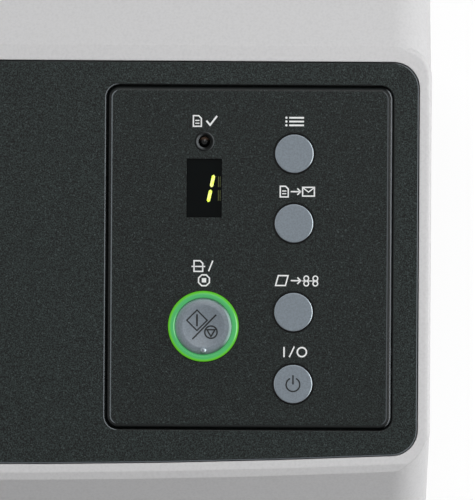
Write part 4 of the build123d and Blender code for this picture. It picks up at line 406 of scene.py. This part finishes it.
def sheet_steel(name, colour, spangle=90.0):
    """Zinc-plated sheet with faint spangle and rolling lines."""
    finish = Finish(name)
    flake = finish.cells(spangle)
    rolled = finish.noise(60.0, 3.0, finish.stretched(1.0, 22.0, 22.0))
    shade = finish.blend(flake, tone(colour, 0.86), tone(colour, 1.1))
    return finish.surface(
        Base_Color=finish.blend(rolled * 0.3, shade, tone(colour, 0.7)),
        Metallic=1.0,
        Roughness=0.34 + flake * 0.1 + (rolled - 0.5) * 0.16,
        Normal=finish.bumped(rolled, 0.00001, 0.0003),
    )


def ground_steel(name, colour):
    """Bright ground bar with fine turning lines along its length."""
    finish = Finish(name)
    turned = finish.noise(500.0, 2.0, finish.stretched(9.0, 1.0, 1.0))
    smear = finish.noise(40.0, 3.0)
    return finish.surface(
        Base_Color=finish.blend(smear * 0.35, tone(colour, 1.08), tone(colour, 0.8)),
        Metallic=1.0,
        Roughness=0.18 + turned * 0.12,
        Normal=finish.bumped(turned, 0.000004, 0.0002),
    )


def rubber(name, colour, ribs=0.0):
    """Matt rubber with fine pores, and ribs across a roller where it has them."""
    finish = Finish(name)
    pores = finish.noise(1500.0, 3.0)
    worn = finish.noise(70.0, 3.0)
    relief = pores
    if ribs:
        relief = finish.noise(ribs, 1.0, finish.stretched(0.02, 1.0, 1.0)) + pores * 0.2
    dust = finish.ramp(worn, 0.45, 0.8, 0.0, 0.4)
    return finish.surface(
        Base_Color=finish.blend(dust, tone(colour, 0.9), tone(colour, 2.0)),
        Roughness=0.72 + (pores - 0.5) * 0.2,
        Specular_IOR_Level=0.25,
        Normal=finish.bumped(relief, 0.00012, 0.0003),
    )


def circuit_board(name, colour):
    """Green solder mask over copper tracks, with tinned pads."""
    finish = Finish(name)
    tracks = finish.edges(210.0, finish.stretched(1.0, 1.6, 1.0))
    pads = finish.cells(620.0)
    patch = finish.cells(52.0)
    track = finish.ramp(tracks, 0.02, 0.06)
    mask = finish.blend(track, tone(colour, 2.1), tone(colour, 1.0))
    areas = finish.blend(finish.ramp(patch, 0.55, 0.6, 0.0, 0.35), mask, tone(colour, 0.5))
    pad = finish.ramp(pads, 0.93, 0.95)
    return finish.surface(
        Base_Color=finish.blend(pad, areas, (0.72, 0.7, 0.62, 1.0)),
        Metallic=pad * 0.9,
        Roughness=0.34 + pads * 0.1,
        Normal=finish.bumped(track, 0.00004),
    )


def clear_glass(name, colour):
    """A clear pane with faint wipe marks."""
    finish = Finish(name)
    wipe = finish.noise(30.0, 4.0, finish.stretched(1.0, 5.0, 1.0))
    return finish.surface(
        Base_Color=finish.blend(wipe * 0.1, (*colour, 1.0), tone(colour, 0.85)),
        Roughness=0.01 + wipe * 0.02,
        Transmission_Weight=1.0,
        Specular_IOR_Level=0.5,
        IOR=1.46,
    )


def smoked_glass(name, colour):
    """A pane so dark that only lit segments show."""
    finish = Finish(name)
    wipe = finish.noise(160.0, 3.0, finish.stretched(1.0, 4.0, 4.0))
    return finish.surface(
        Base_Color=finish.blend(wipe, (*colour, 1.0), tone(colour, 1.3)),
        Roughness=0.05 + wipe * 0.03,
        Specular_IOR_Level=0.06,
    )


def lit(name, colour, strength, paler):
    """A lit part, paler in small patches."""
    finish = Finish(name)
    mottle = finish.noise(900.0, 2.0)
    glow = finish.blend(finish.ramp(mottle, 0.3, 0.7), (*colour, 1.0), (*paler, 1.0))
    return finish.surface(
        Base_Color=tone(colour, 0.2),
        Roughness=0.4 + mottle * 0.1,
        Emission_Color=glow,
        Emission_Strength=strength,
    )


def lamp_lens(name):
    """The lens of a lamp that is off: dark, with a painted brown highlight where it faces up
    and a hard gloss.
    """
    finish = Finish(name)
    heart = finish.noise(900.0, 2.0)
    # Painted highlight: brown on the side of the lens that faces up
    upper = finish.ramp(finish.towards(FACE_UP), 0.1, 0.75)
    return finish.surface(
        Base_Color=finish.blend(upper, (0.003, 0.004, 0.004, 1.0), (0.10, 0.066, 0.048, 1.0)),
        Roughness=0.04 + heart * 0.04,
        Specular_IOR_Level=0.2,
    )


def lamp_cup_finish(name):
    """Smooth dark plastic round the lamp, with painted light on the side that faces right."""
    finish = Finish(name)
    turned = finish.noise(1500.0, 2.0)
    # Painted light: paler on the side of the cup that faces right
    painted_light_facing = finish.ramp(finish.towards((ACROSS + 0.2 * FACE_UP).normalized()), -0.1, 0.55)
    return finish.surface(
        Base_Color=finish.blend(painted_light_facing, (0.006, 0.007, 0.007, 1.0), (0.12, 0.13, 0.135, 1.0)),
        Roughness=0.45 + turned * 0.1,
        Specular_IOR_Level=0.08,
    )


def light_guide(name):
    """The lit ring: lime at its outer edge, cooler green on its crown, with a painted highlight
    in its glow where it faces right.
    """
    finish = Finish(name)
    off = finish.vector_math("SUBTRACT", finish.point, on_face(*SCAN_KEY))
    cross = finish.vector_math("CROSS_PRODUCT", off, FACE_OUT)
    reach = finish.vector_math("LENGTH", cross, output="Value") * (1 / MM)
    mottle = finish.noise(700.0, 2.0)
    rim = finish.ramp(reach, RING_RADIUS - 0.8, RING_RADIUS - 0.15)
    inner = finish.ramp(reach, RING_BORE, RING_BORE + 0.6)
    band = finish.blend(inner, (0.09, 0.46, 0.16, 1.0), (0.09, 0.50, 0.17, 1.0))
    glow = finish.blend(rim, band, (0.17, 0.72, 0.02, 1.0))
    # Painted highlight: the glow turns paler where the crown faces right
    painted_light_facing = finish.towards((FACE_OUT + 0.72 * ACROSS).normalized())
    painted_gleam = finish.ramp(painted_light_facing, 0.955, 0.995, 0.0, 0.55)
    return finish.surface(
        Base_Color=finish.blend(mottle, (0.012, 0.13, 0.03, 1.0), (0.02, 0.16, 0.04, 1.0)),
        Roughness=0.3 + mottle * 0.08,
        Specular_IOR_Level=0.25,
        Emission_Color=finish.blend(painted_gleam, glow, (0.75, 1.3, 0.8, 1.0)),
        Emission_Strength=0.56,
    )


# A finish for each material slot, and for the pieces that are added here
finishes = {
    "casing": moulded(
        "pale_moulded_casing", CASING, 0.46, grain=1500.0, edge=0.0005, gloss=0.4, drift=0.02
    ),
    # The dark face and panel: painted shade and painted highlights on their curved edges
    "face_dark": flecked(
        "flecked_dark_face", FACE_DARK, [(0.74, 0.992, 1, 0.04, EDGE_HIGHLIGHT)], FOOT_HIGHLIGHT
    ),
    "panel_dark": flecked(
        "flecked_dark_panel",
        PANEL_DARK,
        [
            (0.976, 0.994, -1, 0.04, EDGE_HIGHLIGHT),
            (0.976, 0.994, 1, 0.04, FAINT_HIGHLIGHT),
            (0.34, 0.72, 1, 0.36, STRONG_HIGHLIGHT),
        ],
    ),
    "key_grey": satin_key("satin_grey_key", KEY_GREY),
    "light_ring": light_guide("lit_green_ring"),
    "lamp": lamp_lens("dark_lamp_lens"),
    "lamp_cup": lamp_cup_finish("smooth_lamp_cup"),
    "display": moulded(
        "black_display_case",
        (0.004, 0.005, 0.005),
        grain=2000.0,
        relief=0.000005,
        edge=0.0,
        gloss=0.1,
    ),
    "smoked_pane": smoked_glass("smoked_window", (0.0012, 0.0022, 0.0024)),
    "circuit_board": circuit_board("green_circuit_board", (0.012, 0.105, 0.04)),
    "black_plastic": moulded(
        "black_moulded_plastic",
        (0.022, 0.023, 0.025),
        grain=1500.0,
        relief=0.00003,
        edge=0.0003,
    ),
    "guide_grey": moulded(
        "graphite_moulded_guide", GRAPHITE, 0.42, grain=1700.0, relief=0.00003
    ),
    "roller_rubber": rubber("ribbed_roller_rubber", (0.045, 0.046, 0.05), 900.0),
    "foot_rubber": rubber("soft_foot_rubber", (0.022, 0.022, 0.023)),
    "zinc_steel": sheet_steel("zinc_plated_sheet", (0.56, 0.57, 0.58)),
    "bright_steel": ground_steel("bright_ground_steel", (0.66, 0.66, 0.66)),
    "white_plastic": moulded(
        "natural_acetal",
        (0.74, 0.73, 0.69),
        0.38,
        grain=900.0,
        relief=0.00001,
        edge=0.0003,
        gloss=0.45,
        drift=0.03,
    ),
    "scan_glass": clear_glass("scan_window_glass", (0.86, 0.92, 0.9)),
    "motor_metal": sheet_steel("black_motor_body", (0.06, 0.06, 0.065), 400.0),
    "belt_rubber": rubber("toothed_belt_rubber", (0.016, 0.016, 0.017), 1400.0),
    "print_white": moulded(
        "white_panel_print",
        (0.86, 0.87, 0.87),
        0.55,
        grain=3000.0,
        relief=0.000003,
        edge=0.0,
        gloss=0.3,
        drift=0.01,
    ),
    "engraved": moulded(
        "dark_engraved_line",
        (0.018, 0.020, 0.021),
        0.6,
        grain=3000.0,
        relief=0.000003,
        edge=0.0,
        gloss=0.2,
        drift=0.02,
    ),
    "digit_lit": lit("lit_digit", (0.66, 0.9, 0.03), 1.15, (1.0, 1.0, 0.35)),
    "digit_unlit": moulded(
        "unlit_digit",
        (0.0016, 0.0024, 0.0026),
        0.1,
        grain=2500.0,
        relief=0.000001,
        edge=0.0,
        gloss=0.06,
    ),
    # Painted reflections of the lit digit in the window's edges, as dim glowing strips
    "painted_digit_reflection": lit("painted_digit_reflection_in_window", (0.18, 0.21, 0.01), 0.2, (0.18, 0.21, 0.01)),
    "scale_mark": moulded(
        "moulded_scale_mark",
        (0.5, 0.5, 0.49),
        grain=2000.0,
        relief=0.00001,
        edge=0.0,
        gloss=0.3,
    ),
}
for part in frame["record"]["subparts"]:
    node = frame["nodes"][part["node"]]
    node.data.materials.clear()
    node.data.materials.append(finishes[part["material_slot"]])
cover_skin = frame["nodes"]["front_cover"].data.materials
cover_skin.clear()
cover_skin.append(shadowed_casing("pale_cover_casing", CASING))


# The added pieces
def finished_piece(name, mesh, finish, body, smooth=False):
    """Turn a bmesh into a named piece with its finish, riding on a body."""
    bmesh.ops.recalc_face_normals(mesh, faces=mesh.faces[:])
    for face in mesh.faces:
        face.smooth = smooth
    data = bpy.data.meshes.new(name)
    mesh.to_mesh(data)
    mesh.free()
    data.materials.append(finishes[finish])
    piece = bpy.data.objects.new(name, data)
    bpy.context.scene.collection.objects.link(piece)
    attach(piece, body)
    return piece


def moved_sideways(points, closed, offset):
    """The points of a flat path, moved to its left by offset, with mitred corners."""
    moved = []
    for index, point in enumerate(points):
        ways = []
        if index or closed:
            ways.append((Vector(point) - Vector(points[index - 1])).normalized())
        if index < len(points) - 1 or closed:
            after = points[(index + 1) % len(points)]
            ways.append((Vector(after) - Vector(point)).normalized())
        mean = sum(ways, Vector((0.0, 0.0))).normalized()
        mitre = offset / max(mean.dot(ways[0]), 0.3)
        moved.append((point[0] - mean.y * mitre, point[1] + mean.x * mitre))
    return moved


def add_ribbon(mesh, place, points, section, closed=False):
    """Add a band along a flat path. section gives its sideways offsets and rises."""
    columns = []
    for offset, rise in section:
        line = moved_sideways(points, closed, offset)
        columns.append([mesh.verts.new(place(x, y, rise)) for x, y in line])
    steps = len(points) if closed else len(points) - 1
    for near, far in zip(columns, columns[1:]):
        for step in range(steps):
            after = (step + 1) % len(points)
            mesh.faces.new((near[step], far[step], far[after], near[after]))
    if not closed:
        mesh.faces.new([column[0] for column in columns])
        mesh.faces.new([column[-1] for column in reversed(columns)])


def add_patch(mesh, place, corners, thick):
    """Add a filled flat shape with a little thickness."""
    top = [mesh.verts.new(place(x, y, thick)) for x, y in corners]
    foot = [mesh.verts.new(place(x, y, 0.0)) for x, y in corners]
    mesh.faces.new(top)
    for index in range(len(corners)):
        after = (index + 1) % len(corners)
        mesh.faces.new((top[index], foot[index], foot[after], top[after]))


def arc(x, y, radius, start, end, steps):
    """Points of an arc, its angles in degrees."""
    angles = [radians(start + (end - start) * step / steps) for step in range(steps + 1)]
    return [(x + radius * cos(angle), y + radius * sin(angle)) for angle in angles]


def circle(x, y, radius, steps):
    """Points of a whole circle."""
    return arc(x, y, radius, 0, 360, steps)[:-1]


def box_corners(x, y, width, height):
    """The corners of a rectangle round a middle."""
    return [
        (x - width / 2, y - height / 2),
        (x + width / 2, y - height / 2),
        (x + width / 2, y + height / 2),
        (x - width / 2, y + height / 2),
    ]


# Prints and marks: a stroke is its points, its width and whether it closes on itself
PRINT_THICK = 0.02
MARK_THICK = 0.03
LINE = 0.36
THIN_LINE = 0.28


def add_strokes(mesh, place, strokes, thick):
    """Add lines of an even width."""
    for points, width, closed in strokes:
        half = width / 2
        section = [(-half, 0.0), (-half, thick), (half, thick), (half, 0.0)]
        add_ribbon(mesh, place, points, section, closed)


def panel_print(name, strokes, fills=()):
    """A white pictogram on the operating panel. fills are the corners of filled shapes."""
    mesh = bmesh.new()
    add_strokes(mesh, on_face, strokes, PRINT_THICK)
    for corners in fills:
        add_patch(mesh, on_face, corners, PRINT_THICK)
    finished_piece(name, mesh, "print_white", "cover")


def page(x, v, width=2.1):
    """A sheet with one folded corner."""
    height = 2.8
    fold = 0.7
    left, right = x - width / 2, x + width / 2
    low, high = v - height / 2, v + height / 2
    return [(left, low), (right, low), (right, high - fold), (right - fold, high), (left, high)]


def arrow_right(x, v, length):
    """The strokes of an arrow that points to the right."""
    tip = x + length / 2
    return [
        ([(x - length / 2, v), (tip, v)], LINE, False),
        ([(tip - 0.85, v + 0.85), (tip, v), (tip - 0.85, v - 0.85)], LINE, False),
    ]


def check_print():
    """A written page and a tick."""
    x, v = CHECK_PRINT
    tick = [(x + 0.5, v + 0.1), (x + 1.45, v - 1.05), (x + 3.3, v + 1.35)]
    strokes = [(page(x - 1.9, v), LINE, True), (tick, 0.46, False)]
    for row in (-0.6, 0.15):
        strokes.append(([(x - 2.45, v + row), (x - 1.35, v + row)], THIN_LINE, False))
    panel_print("check_print", strokes)


def list_print():
    """Three lines of a list."""
    x, v = LIST_PRINT
    strokes, fills = [], []
    for row in (-1, 0, 1):
        strokes.append(([(x - 1.5, v + row), (x + 2.4, v + row)], 0.46, False))
        fills.append(circle(x - 2.25, v + row, 0.3, 16))
    panel_print("list_print", strokes, fills)


def send_print():
    """A written page, an arrow and an envelope."""
    x, v = SEND_PRINT
    strokes = [(page(x - 2.7, v), LINE, True), *arrow_right(x + 0.3, v, 2.6)]
    for row in (-0.55, 0.15):
        strokes.append(([(x - 3.25, v + row), (x - 2.15, v + row)], THIN_LINE, False))
    flap = [(x + 2.2, v + 1.05), (x + 3.7, v - 0.1), (x + 5.2, v + 1.05)]
    envelope = box_corners(x + 3.7, v, 3.1, 2.3)
    strokes += [(envelope, LINE, True), (flap, 0.3, False)]
    panel_print("send_print", strokes)


def scan_print():
    """A page that passes a bar, a slash, and a stop sign below them."""
    x, v = SCAN_PRINT
    strokes = [
        (page(x - 1.5, v, 2.3), LINE, True),
        ([(x - 3.3, v - 0.1), (x + 0.3, v - 0.1)], 0.34, False),
        ([(x + 1.2, v - 1.35), (x + 2.3, v + 1.45)], LINE, False),
    ]
    low = v - 3.75
    strokes.append((arc(x, low, 1.55, 22.5, 337.5, 7), LINE, True))
    panel_print("scan_print", strokes, [box_corners(x, low, 1.15, 1.15)])


def manual_print():
    """A sheet, an arrow and two pairs of rollers."""
    x, v = MANUAL_PRINT
    sheet = [(x - 5.2, v - 1.3), (x - 2.6, v - 1.3), (x - 1.9, v + 1.3), (x - 4.5, v + 1.3)]
    strokes = [(sheet, LINE, True), *arrow_right(x + 0.1, v, 2.6)]
    for across in (0.0, 2.4):
        strokes.append((circle(x + 2.9 + across, v + 0.62, 0.62, 24), 0.32, True))
        strokes.append((circle(x + 2.9 + across, v - 0.75, 0.62, 24), 0.32, True))
    strokes.append(([(x + 1.9, v - 0.06), (x + 6.0, v - 0.06)], 0.24, False))
    panel_print("manual_print", strokes)


def power_print():
    """A line, a slash and a circle."""
    x, v = POWER_PRINT
    strokes = [
        ([(x - 2.5, v - 1.35), (x - 2.5, v + 1.35)], 0.42, False),
        ([(x - 1.1, v - 1.35), (x + 0.2, v + 1.45)], LINE, False),
        (circle(x + 2.2, v, 1.2, 36), 0.4, True),
    ]
    panel_print("power_print", strokes)


def engraved_marks(name, place, body, strokes):
    """Dark lines on a key, a hair above its top."""
    mesh = bmesh.new()
    add_strokes(mesh, place, strokes, MARK_THICK)
    finished_piece(name, mesh, "engraved", body)


def scan_key_marks():
    """A start sign, a slash and a stop sign. Long lines have extra points to follow the dish."""
    x, v = SCAN_KEY
    start_x, start_v, reach = x - 1.68, v + 1.58, 2.7
    diamond = [
        (start_x + reach, start_v),
        (start_x, start_v + reach),
        (start_x - reach, start_v),
        (start_x, start_v - reach),
    ]
    slash = [(x + 3.38 - 6.26 * step / 8, v + 3.09 - 6.5 * step / 8) for step in range(9)]
    stop_x, stop_v = x + 2.02, v - 1.53
    triangle = [
        (stop_x - 1.06, stop_v + 0.64),
        (stop_x + 1.06, stop_v + 0.64),
        (stop_x, stop_v - 1.14),
    ]
    sides = []
    for index, corner in enumerate(diamond):
        after = diamond[(index + 1) % 4]
        for step in range(4):
            share = step / 4
            sides.append([near + (far - near) * share for near, far in zip(corner, after)])
    strokes = [
        (sides, 0.36, True),
        ([(start_x, start_v + 1.6 - 0.8 * step) for step in range(5)], 0.48, False),
        (slash, 0.4, False),
        (circle(stop_x, stop_v, 1.62, 44), 0.4, True),
        (triangle, 0.38, True),
    ]
    engraved_marks("scan_key_marks", on_scan_key, "scan_key", strokes)


def power_key_mark():
    """A standby sign."""
    x, v = POWER_KEY
    strokes = [
        (arc(x, v - 0.15, 1.8, 116, 424, 48), 0.38, False),
        ([(x, v + 2.35), (x, v - 0.1)], 0.4, False),
    ]
    engraved_marks("power_key_mark", on_power_key, "power_key", strokes)


def segment(start, end, width):
    """A display segment: a bar with pointed ends."""
    first, last = Vector(start), Vector(end)
    way = (last - first).normalized()
    left = Vector((-way.y, way.x)) * width / 2
    shoulder = way * width * 0.42
    near, far = first + shoulder, last - shoulder
    corners = [first, near + left, far + left, last, far - left, near - left]
    return [(corner.x, corner.y) for corner in corners]


def digit_segments():
    """The two lit bars of the digit, the five that are off and the painted reflections beside
    them.
    """
    lean = 0.21
    width = 0.88
    low, middle, high = 73.0, 76.6, 80.2
    right = [172.5 - lean * (high - v) for v in (low, middle, high)]
    left = [place - 4.1 for place in right]
    lit_thick, unlit_thick = 0.02, 0.01
    mesh = bmesh.new()
    for start, end in (
        ((right[2] + 0.02, high + 0.05), (right[1] + 0.12, middle + 0.32)),
        ((right[1] + 0.02, middle - 0.28), (right[0] + 0.05, low)),
    ):
        add_patch(mesh, on_window, segment(start, end, width), lit_thick)
    finished_piece("lit_segments", mesh, "digit_lit", "cover")
    bars = [((left[2], high), (left[1], middle + 0.3)), ((left[1], middle - 0.3), (left[0], low))]
    for height, x in ((low, left[0]), (middle, left[1]), (high, left[2])):
        bars.append(((x + 0.4, height), (x + 3.7, height)))
    mesh = bmesh.new()
    for start, end in bars:
        add_patch(mesh, on_window, segment(start, end, width), unlit_thick)
    finished_piece("unlit_segments", mesh, "digit_unlit", "cover")
    # Painted reflections of the lit bars in the edges of the window, as dim glowing strips
    mesh = bmesh.new()
    for x, wide in ((173.75, 0.14), (174.2, 0.12)):
        for v in (74.8, 78.4):
            add_patch(mesh, on_window, box_corners(x, v, wide, 2.8), lit_thick)
    finished_piece("painted_segment_reflections", mesh, "painted_digit_reflection", "cover")


def add_turned(mesh, middle, profile, turns):
    """Turn a closed profile of radii and rises about a line that stands on the face."""
    x, v = middle
    rings = []
    for turn in range(turns):
        angle = 2 * pi * turn / turns
        places = [on_face(x + r * cos(angle), v + r * sin(angle), rise) for r, rise in profile]
        rings.append([mesh.verts.new(place) for place in places])
    for turn in range(turns):
        near, far = rings[turn], rings[(turn + 1) % turns]
        for index in range(len(profile)):
            after = (index + 1) % len(profile)
            mesh.faces.new((near[index], far[index], far[after], near[after]))


def lamp_cup():
    profile = [(2.6, 0.02), (1.62, -0.7), (1.62, -0.76), (2.6, -0.04)]
    mesh = bmesh.new()
    add_turned(mesh, CHECK_LAMP, profile, 64)
    finished_piece("lamp_cup", mesh, "lamp_cup", "cover", smooth=True)


def ring_lens():
    """The light guide with a rounded crown, turned about the large key's middle."""
    flange, flange_top = RING_RADIUS + 1.2, -2.5
    outer_round, inner_round = 0.8, 0.55
    profile = [(flange, RING_SEAT), (flange, flange_top), (RING_RADIUS, flange_top)]
    profile += arc(RING_RADIUS - outer_round, RING_PROUD - outer_round, outer_round, 0, 90, 8)
    profile += arc(RING_BORE + inner_round, RING_PROUD - inner_round, inner_round, 90, 180, 8)
    profile.append((RING_BORE, RING_SEAT))
    mesh = bmesh.new()
    add_turned(mesh, SCAN_KEY, profile, 128)
    piece = finished_piece("ring_lens", mesh, "light_ring", "cover", smooth=True)
    piece.data.set_sharp_from_angle(angle=radians(50))
    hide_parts("scan_light_ring")


def chute_marks():
    """Moulded tick marks beside the page guides, the same on both sides."""
    first, pitch, foot = 52.0, 10.0, 108.0
    wide, thick = 0.6, 0.05
    mesh = bmesh.new()
    for side in (-1, 1):
        for index in range(12):
            x = side * (first + index * pitch)
            length = 9.0 if index % 2 == 0 else 5.0
            add_patch(mesh, on_chute, box_corners(x, foot + length / 2, wide, length), thick)
    finished_piece("chute_marks", mesh, "scale_mark", "chute")


def painted_screw_recesses():
    """A cross recess in the head of each screw of the rear cover, drawn as a dark cross
    a hair above the head: painted shade in place of the hollow.
    """
    arm, half, thick = 1.35, 0.32, 0.02
    cross = [(half, half), (half, arm), (-half, arm), (-half, half), (-arm, half), (-arm, -half)]
    cross += [(-x, -z) for x, z in cross]
    mesh = bmesh.new()
    for side in (-1, 1):
        for height in SCREW_HEIGHTS:
            corners = [(side * SCREW_ACROSS + x, height + z) for x, z in cross]
            add_patch(mesh, on_rear, corners, thick)
    finished_piece("painted_screw_recesses", mesh, "engraved", "base")


def latch_ridges():
    """Four low ridges across the latch paddle for the fingertips."""
    place = on_top_of(frame["nodes"]["latch_bar"])
    section = [(-0.7, 0.0), (-0.45, 0.42), (0.0, 0.55), (0.45, 0.42), (0.7, 0.0)]
    half_length, step_length = 20.0, 5.0
    mesh = bmesh.new()
    for y in (-31.0, -27.0, -23.0, -19.0):
        ridge = [(step * step_length - half_length, y) for step in range(9)]
        add_ribbon(mesh, place, ridge, section)
    finished_piece("latch_ridges", mesh, "casing", "latch")


for make in (
    check_print,
    list_print,
    send_print,
    scan_print,
    manual_print,
    power_print,
    scan_key_marks,
    power_key_mark,
    digit_segments,
    lamp_cup,
    ring_lens,
    chute_marks,
    painted_screw_recesses,
    latch_ridges,
):
    make()

# Camera: square on to the dark face, aimed at the middle of the photographed patch
PHOTO_MIDDLE = (178.9, 60.4)
FRAME_HEIGHT = 0.132
CAMERA_DISTANCE = 1.4
CAMERA_ROLL = radians(0.35)
SENSOR = 36.0
aim = on_face(*PHOTO_MIDDLE)
camera = bpy.data.objects.new("camera", bpy.data.cameras.new("camera"))
bpy.context.scene.collection.objects.link(camera)
camera_up = FACE_UP * cos(CAMERA_ROLL) - ACROSS * sin(CAMERA_ROLL)
camera_right = camera_up.cross(FACE_OUT)
axes = Matrix((camera_right, camera_up, FACE_OUT)).transposed().to_4x4()
camera.matrix_world = Matrix.Translation(aim + FACE_OUT * CAMERA_DISTANCE) @ axes
camera.data.sensor_width = SENSOR
camera.data.lens = SENSOR * CAMERA_DISTANCE / FRAME_HEIGHT
camera.data.clip_start = 0.05
camera.data.clip_end = 50.0
bpy.context.scene.camera = camera


def seen_directly(finish):
    """1 for rays from the camera, or by way of gloss or glass, and 0 for others."""
    rays = ("Is Camera Ray", "Is Glossy Ray", "Is Transmission Ray")
    camera_ray, glossy_ray, glass_ray = [
        finish.add("ShaderNodeLightPath", output=ray) for ray in rays
    ]
    settings = {"operation": "ADD", "use_clamp": True}
    return finish.add("ShaderNodeMath", settings, {0: camera_ray + glossy_ray, 1: glass_ray})


# Pale floor that fades to the white backdrop
FLOOR_WHITE = 0.46
FLOOR_GLOW = 1.36
FLOOR_HALF = 20.0
FADE_NEAR, FADE_FAR = 0.45, 1.6
FADE_START = 0.62
PURE_WHITE = (1.0, 1.0, 1.0, 1.0)
floor_mesh = bmesh.new()
bmesh.ops.create_grid(floor_mesh, x_segments=1, y_segments=1, size=FLOOR_HALF)
floor_data = bpy.data.meshes.new("floor")
floor_mesh.to_mesh(floor_data)
floor_mesh.free()
floor = bpy.data.objects.new("floor", floor_data)
bpy.context.scene.collection.objects.link(floor)
floor_finish = Finish("pale_floor")
pale = tone((FLOOR_WHITE, FLOOR_WHITE, FLOOR_WHITE), 1.0)
matt = floor_finish.add("ShaderNodeBsdfDiffuse", None, {"Color": pale})
backdrop = {"Color": PURE_WHITE, "Strength": FLOOR_GLOW}
white = floor_finish.add("ShaderNodeEmission", None, backdrop)
reach = floor_finish.vector_math("LENGTH", floor_finish.point, output="Value")
spread = floor_finish.ramp(reach, FADE_NEAR, FADE_FAR, FADE_START, 1.0)
fade = spread * seen_directly(floor_finish)
mixed = floor_finish.add("ShaderNodeMixShader", None, {0: fade, 1: matt, 2: white})
floor_finish.tree.links.new(mixed.socket, floor_finish.output.inputs["Surface"])
floor_data.materials.append(floor_finish.material)

# Soft studio light
WORLD_LEVEL = 0.27


class Surroundings(Finish):
    """The world's own nodes, written in the same way as a finish."""

    def __init__(self, world):
        world.use_nodes = True
        self.tree = world.node_tree
        self.tree.nodes.clear()
        self.output = self.tree.nodes.new("ShaderNodeOutputWorld")


world = bpy.data.worlds.new("studio")
bpy.context.scene.world = world
studio = Surroundings(world)
level = seen_directly(studio) * (1 - WORLD_LEVEL) + WORLD_LEVEL
glow = studio.add("ShaderNodeBackground", None, {"Color": PURE_WHITE, "Strength": level})
studio.tree.links.new(glow.socket, studio.output.inputs["Surface"])

PANEL_MIDDLE = on_face(182.0, 58.0)


def softbox(name, way, distance, width, height, power):
    """A soft lamp that faces the operating panel. Metres and watts."""
    lamp = bpy.data.lights.new(name, "AREA")
    lamp.shape = "RECTANGLE"
    lamp.size = width
    lamp.size_y = height
    lamp.energy = power
    light = bpy.data.objects.new(name, lamp)
    bpy.context.scene.collection.objects.link(light)
    back = Vector(way).normalized()
    light.location = PANEL_MIDDLE + distance * back
    light.rotation_euler = (-back).to_track_quat("-Z", "Y").to_euler()
    light.visible_camera = False


softbox("overhead_softbox", (0.11, -0.39, 0.91), distance=1.6, width=1.1, height=0.9, power=12.6)
softbox("right_softbox", (0.93, -0.27, 0.11), distance=0.62, width=0.36, height=0.6, power=2.7)
softbox("left_softbox", (-0.97, -0.25, 0.20), distance=1.1, width=0.4, height=0.9, power=1.5)
softbox("rear_softbox", (-0.20, 0.90, 0.40), distance=1.9, width=1.2, height=0.9, power=14.0)

bpy.context.scene.view_settings.view_transform = "Standard"
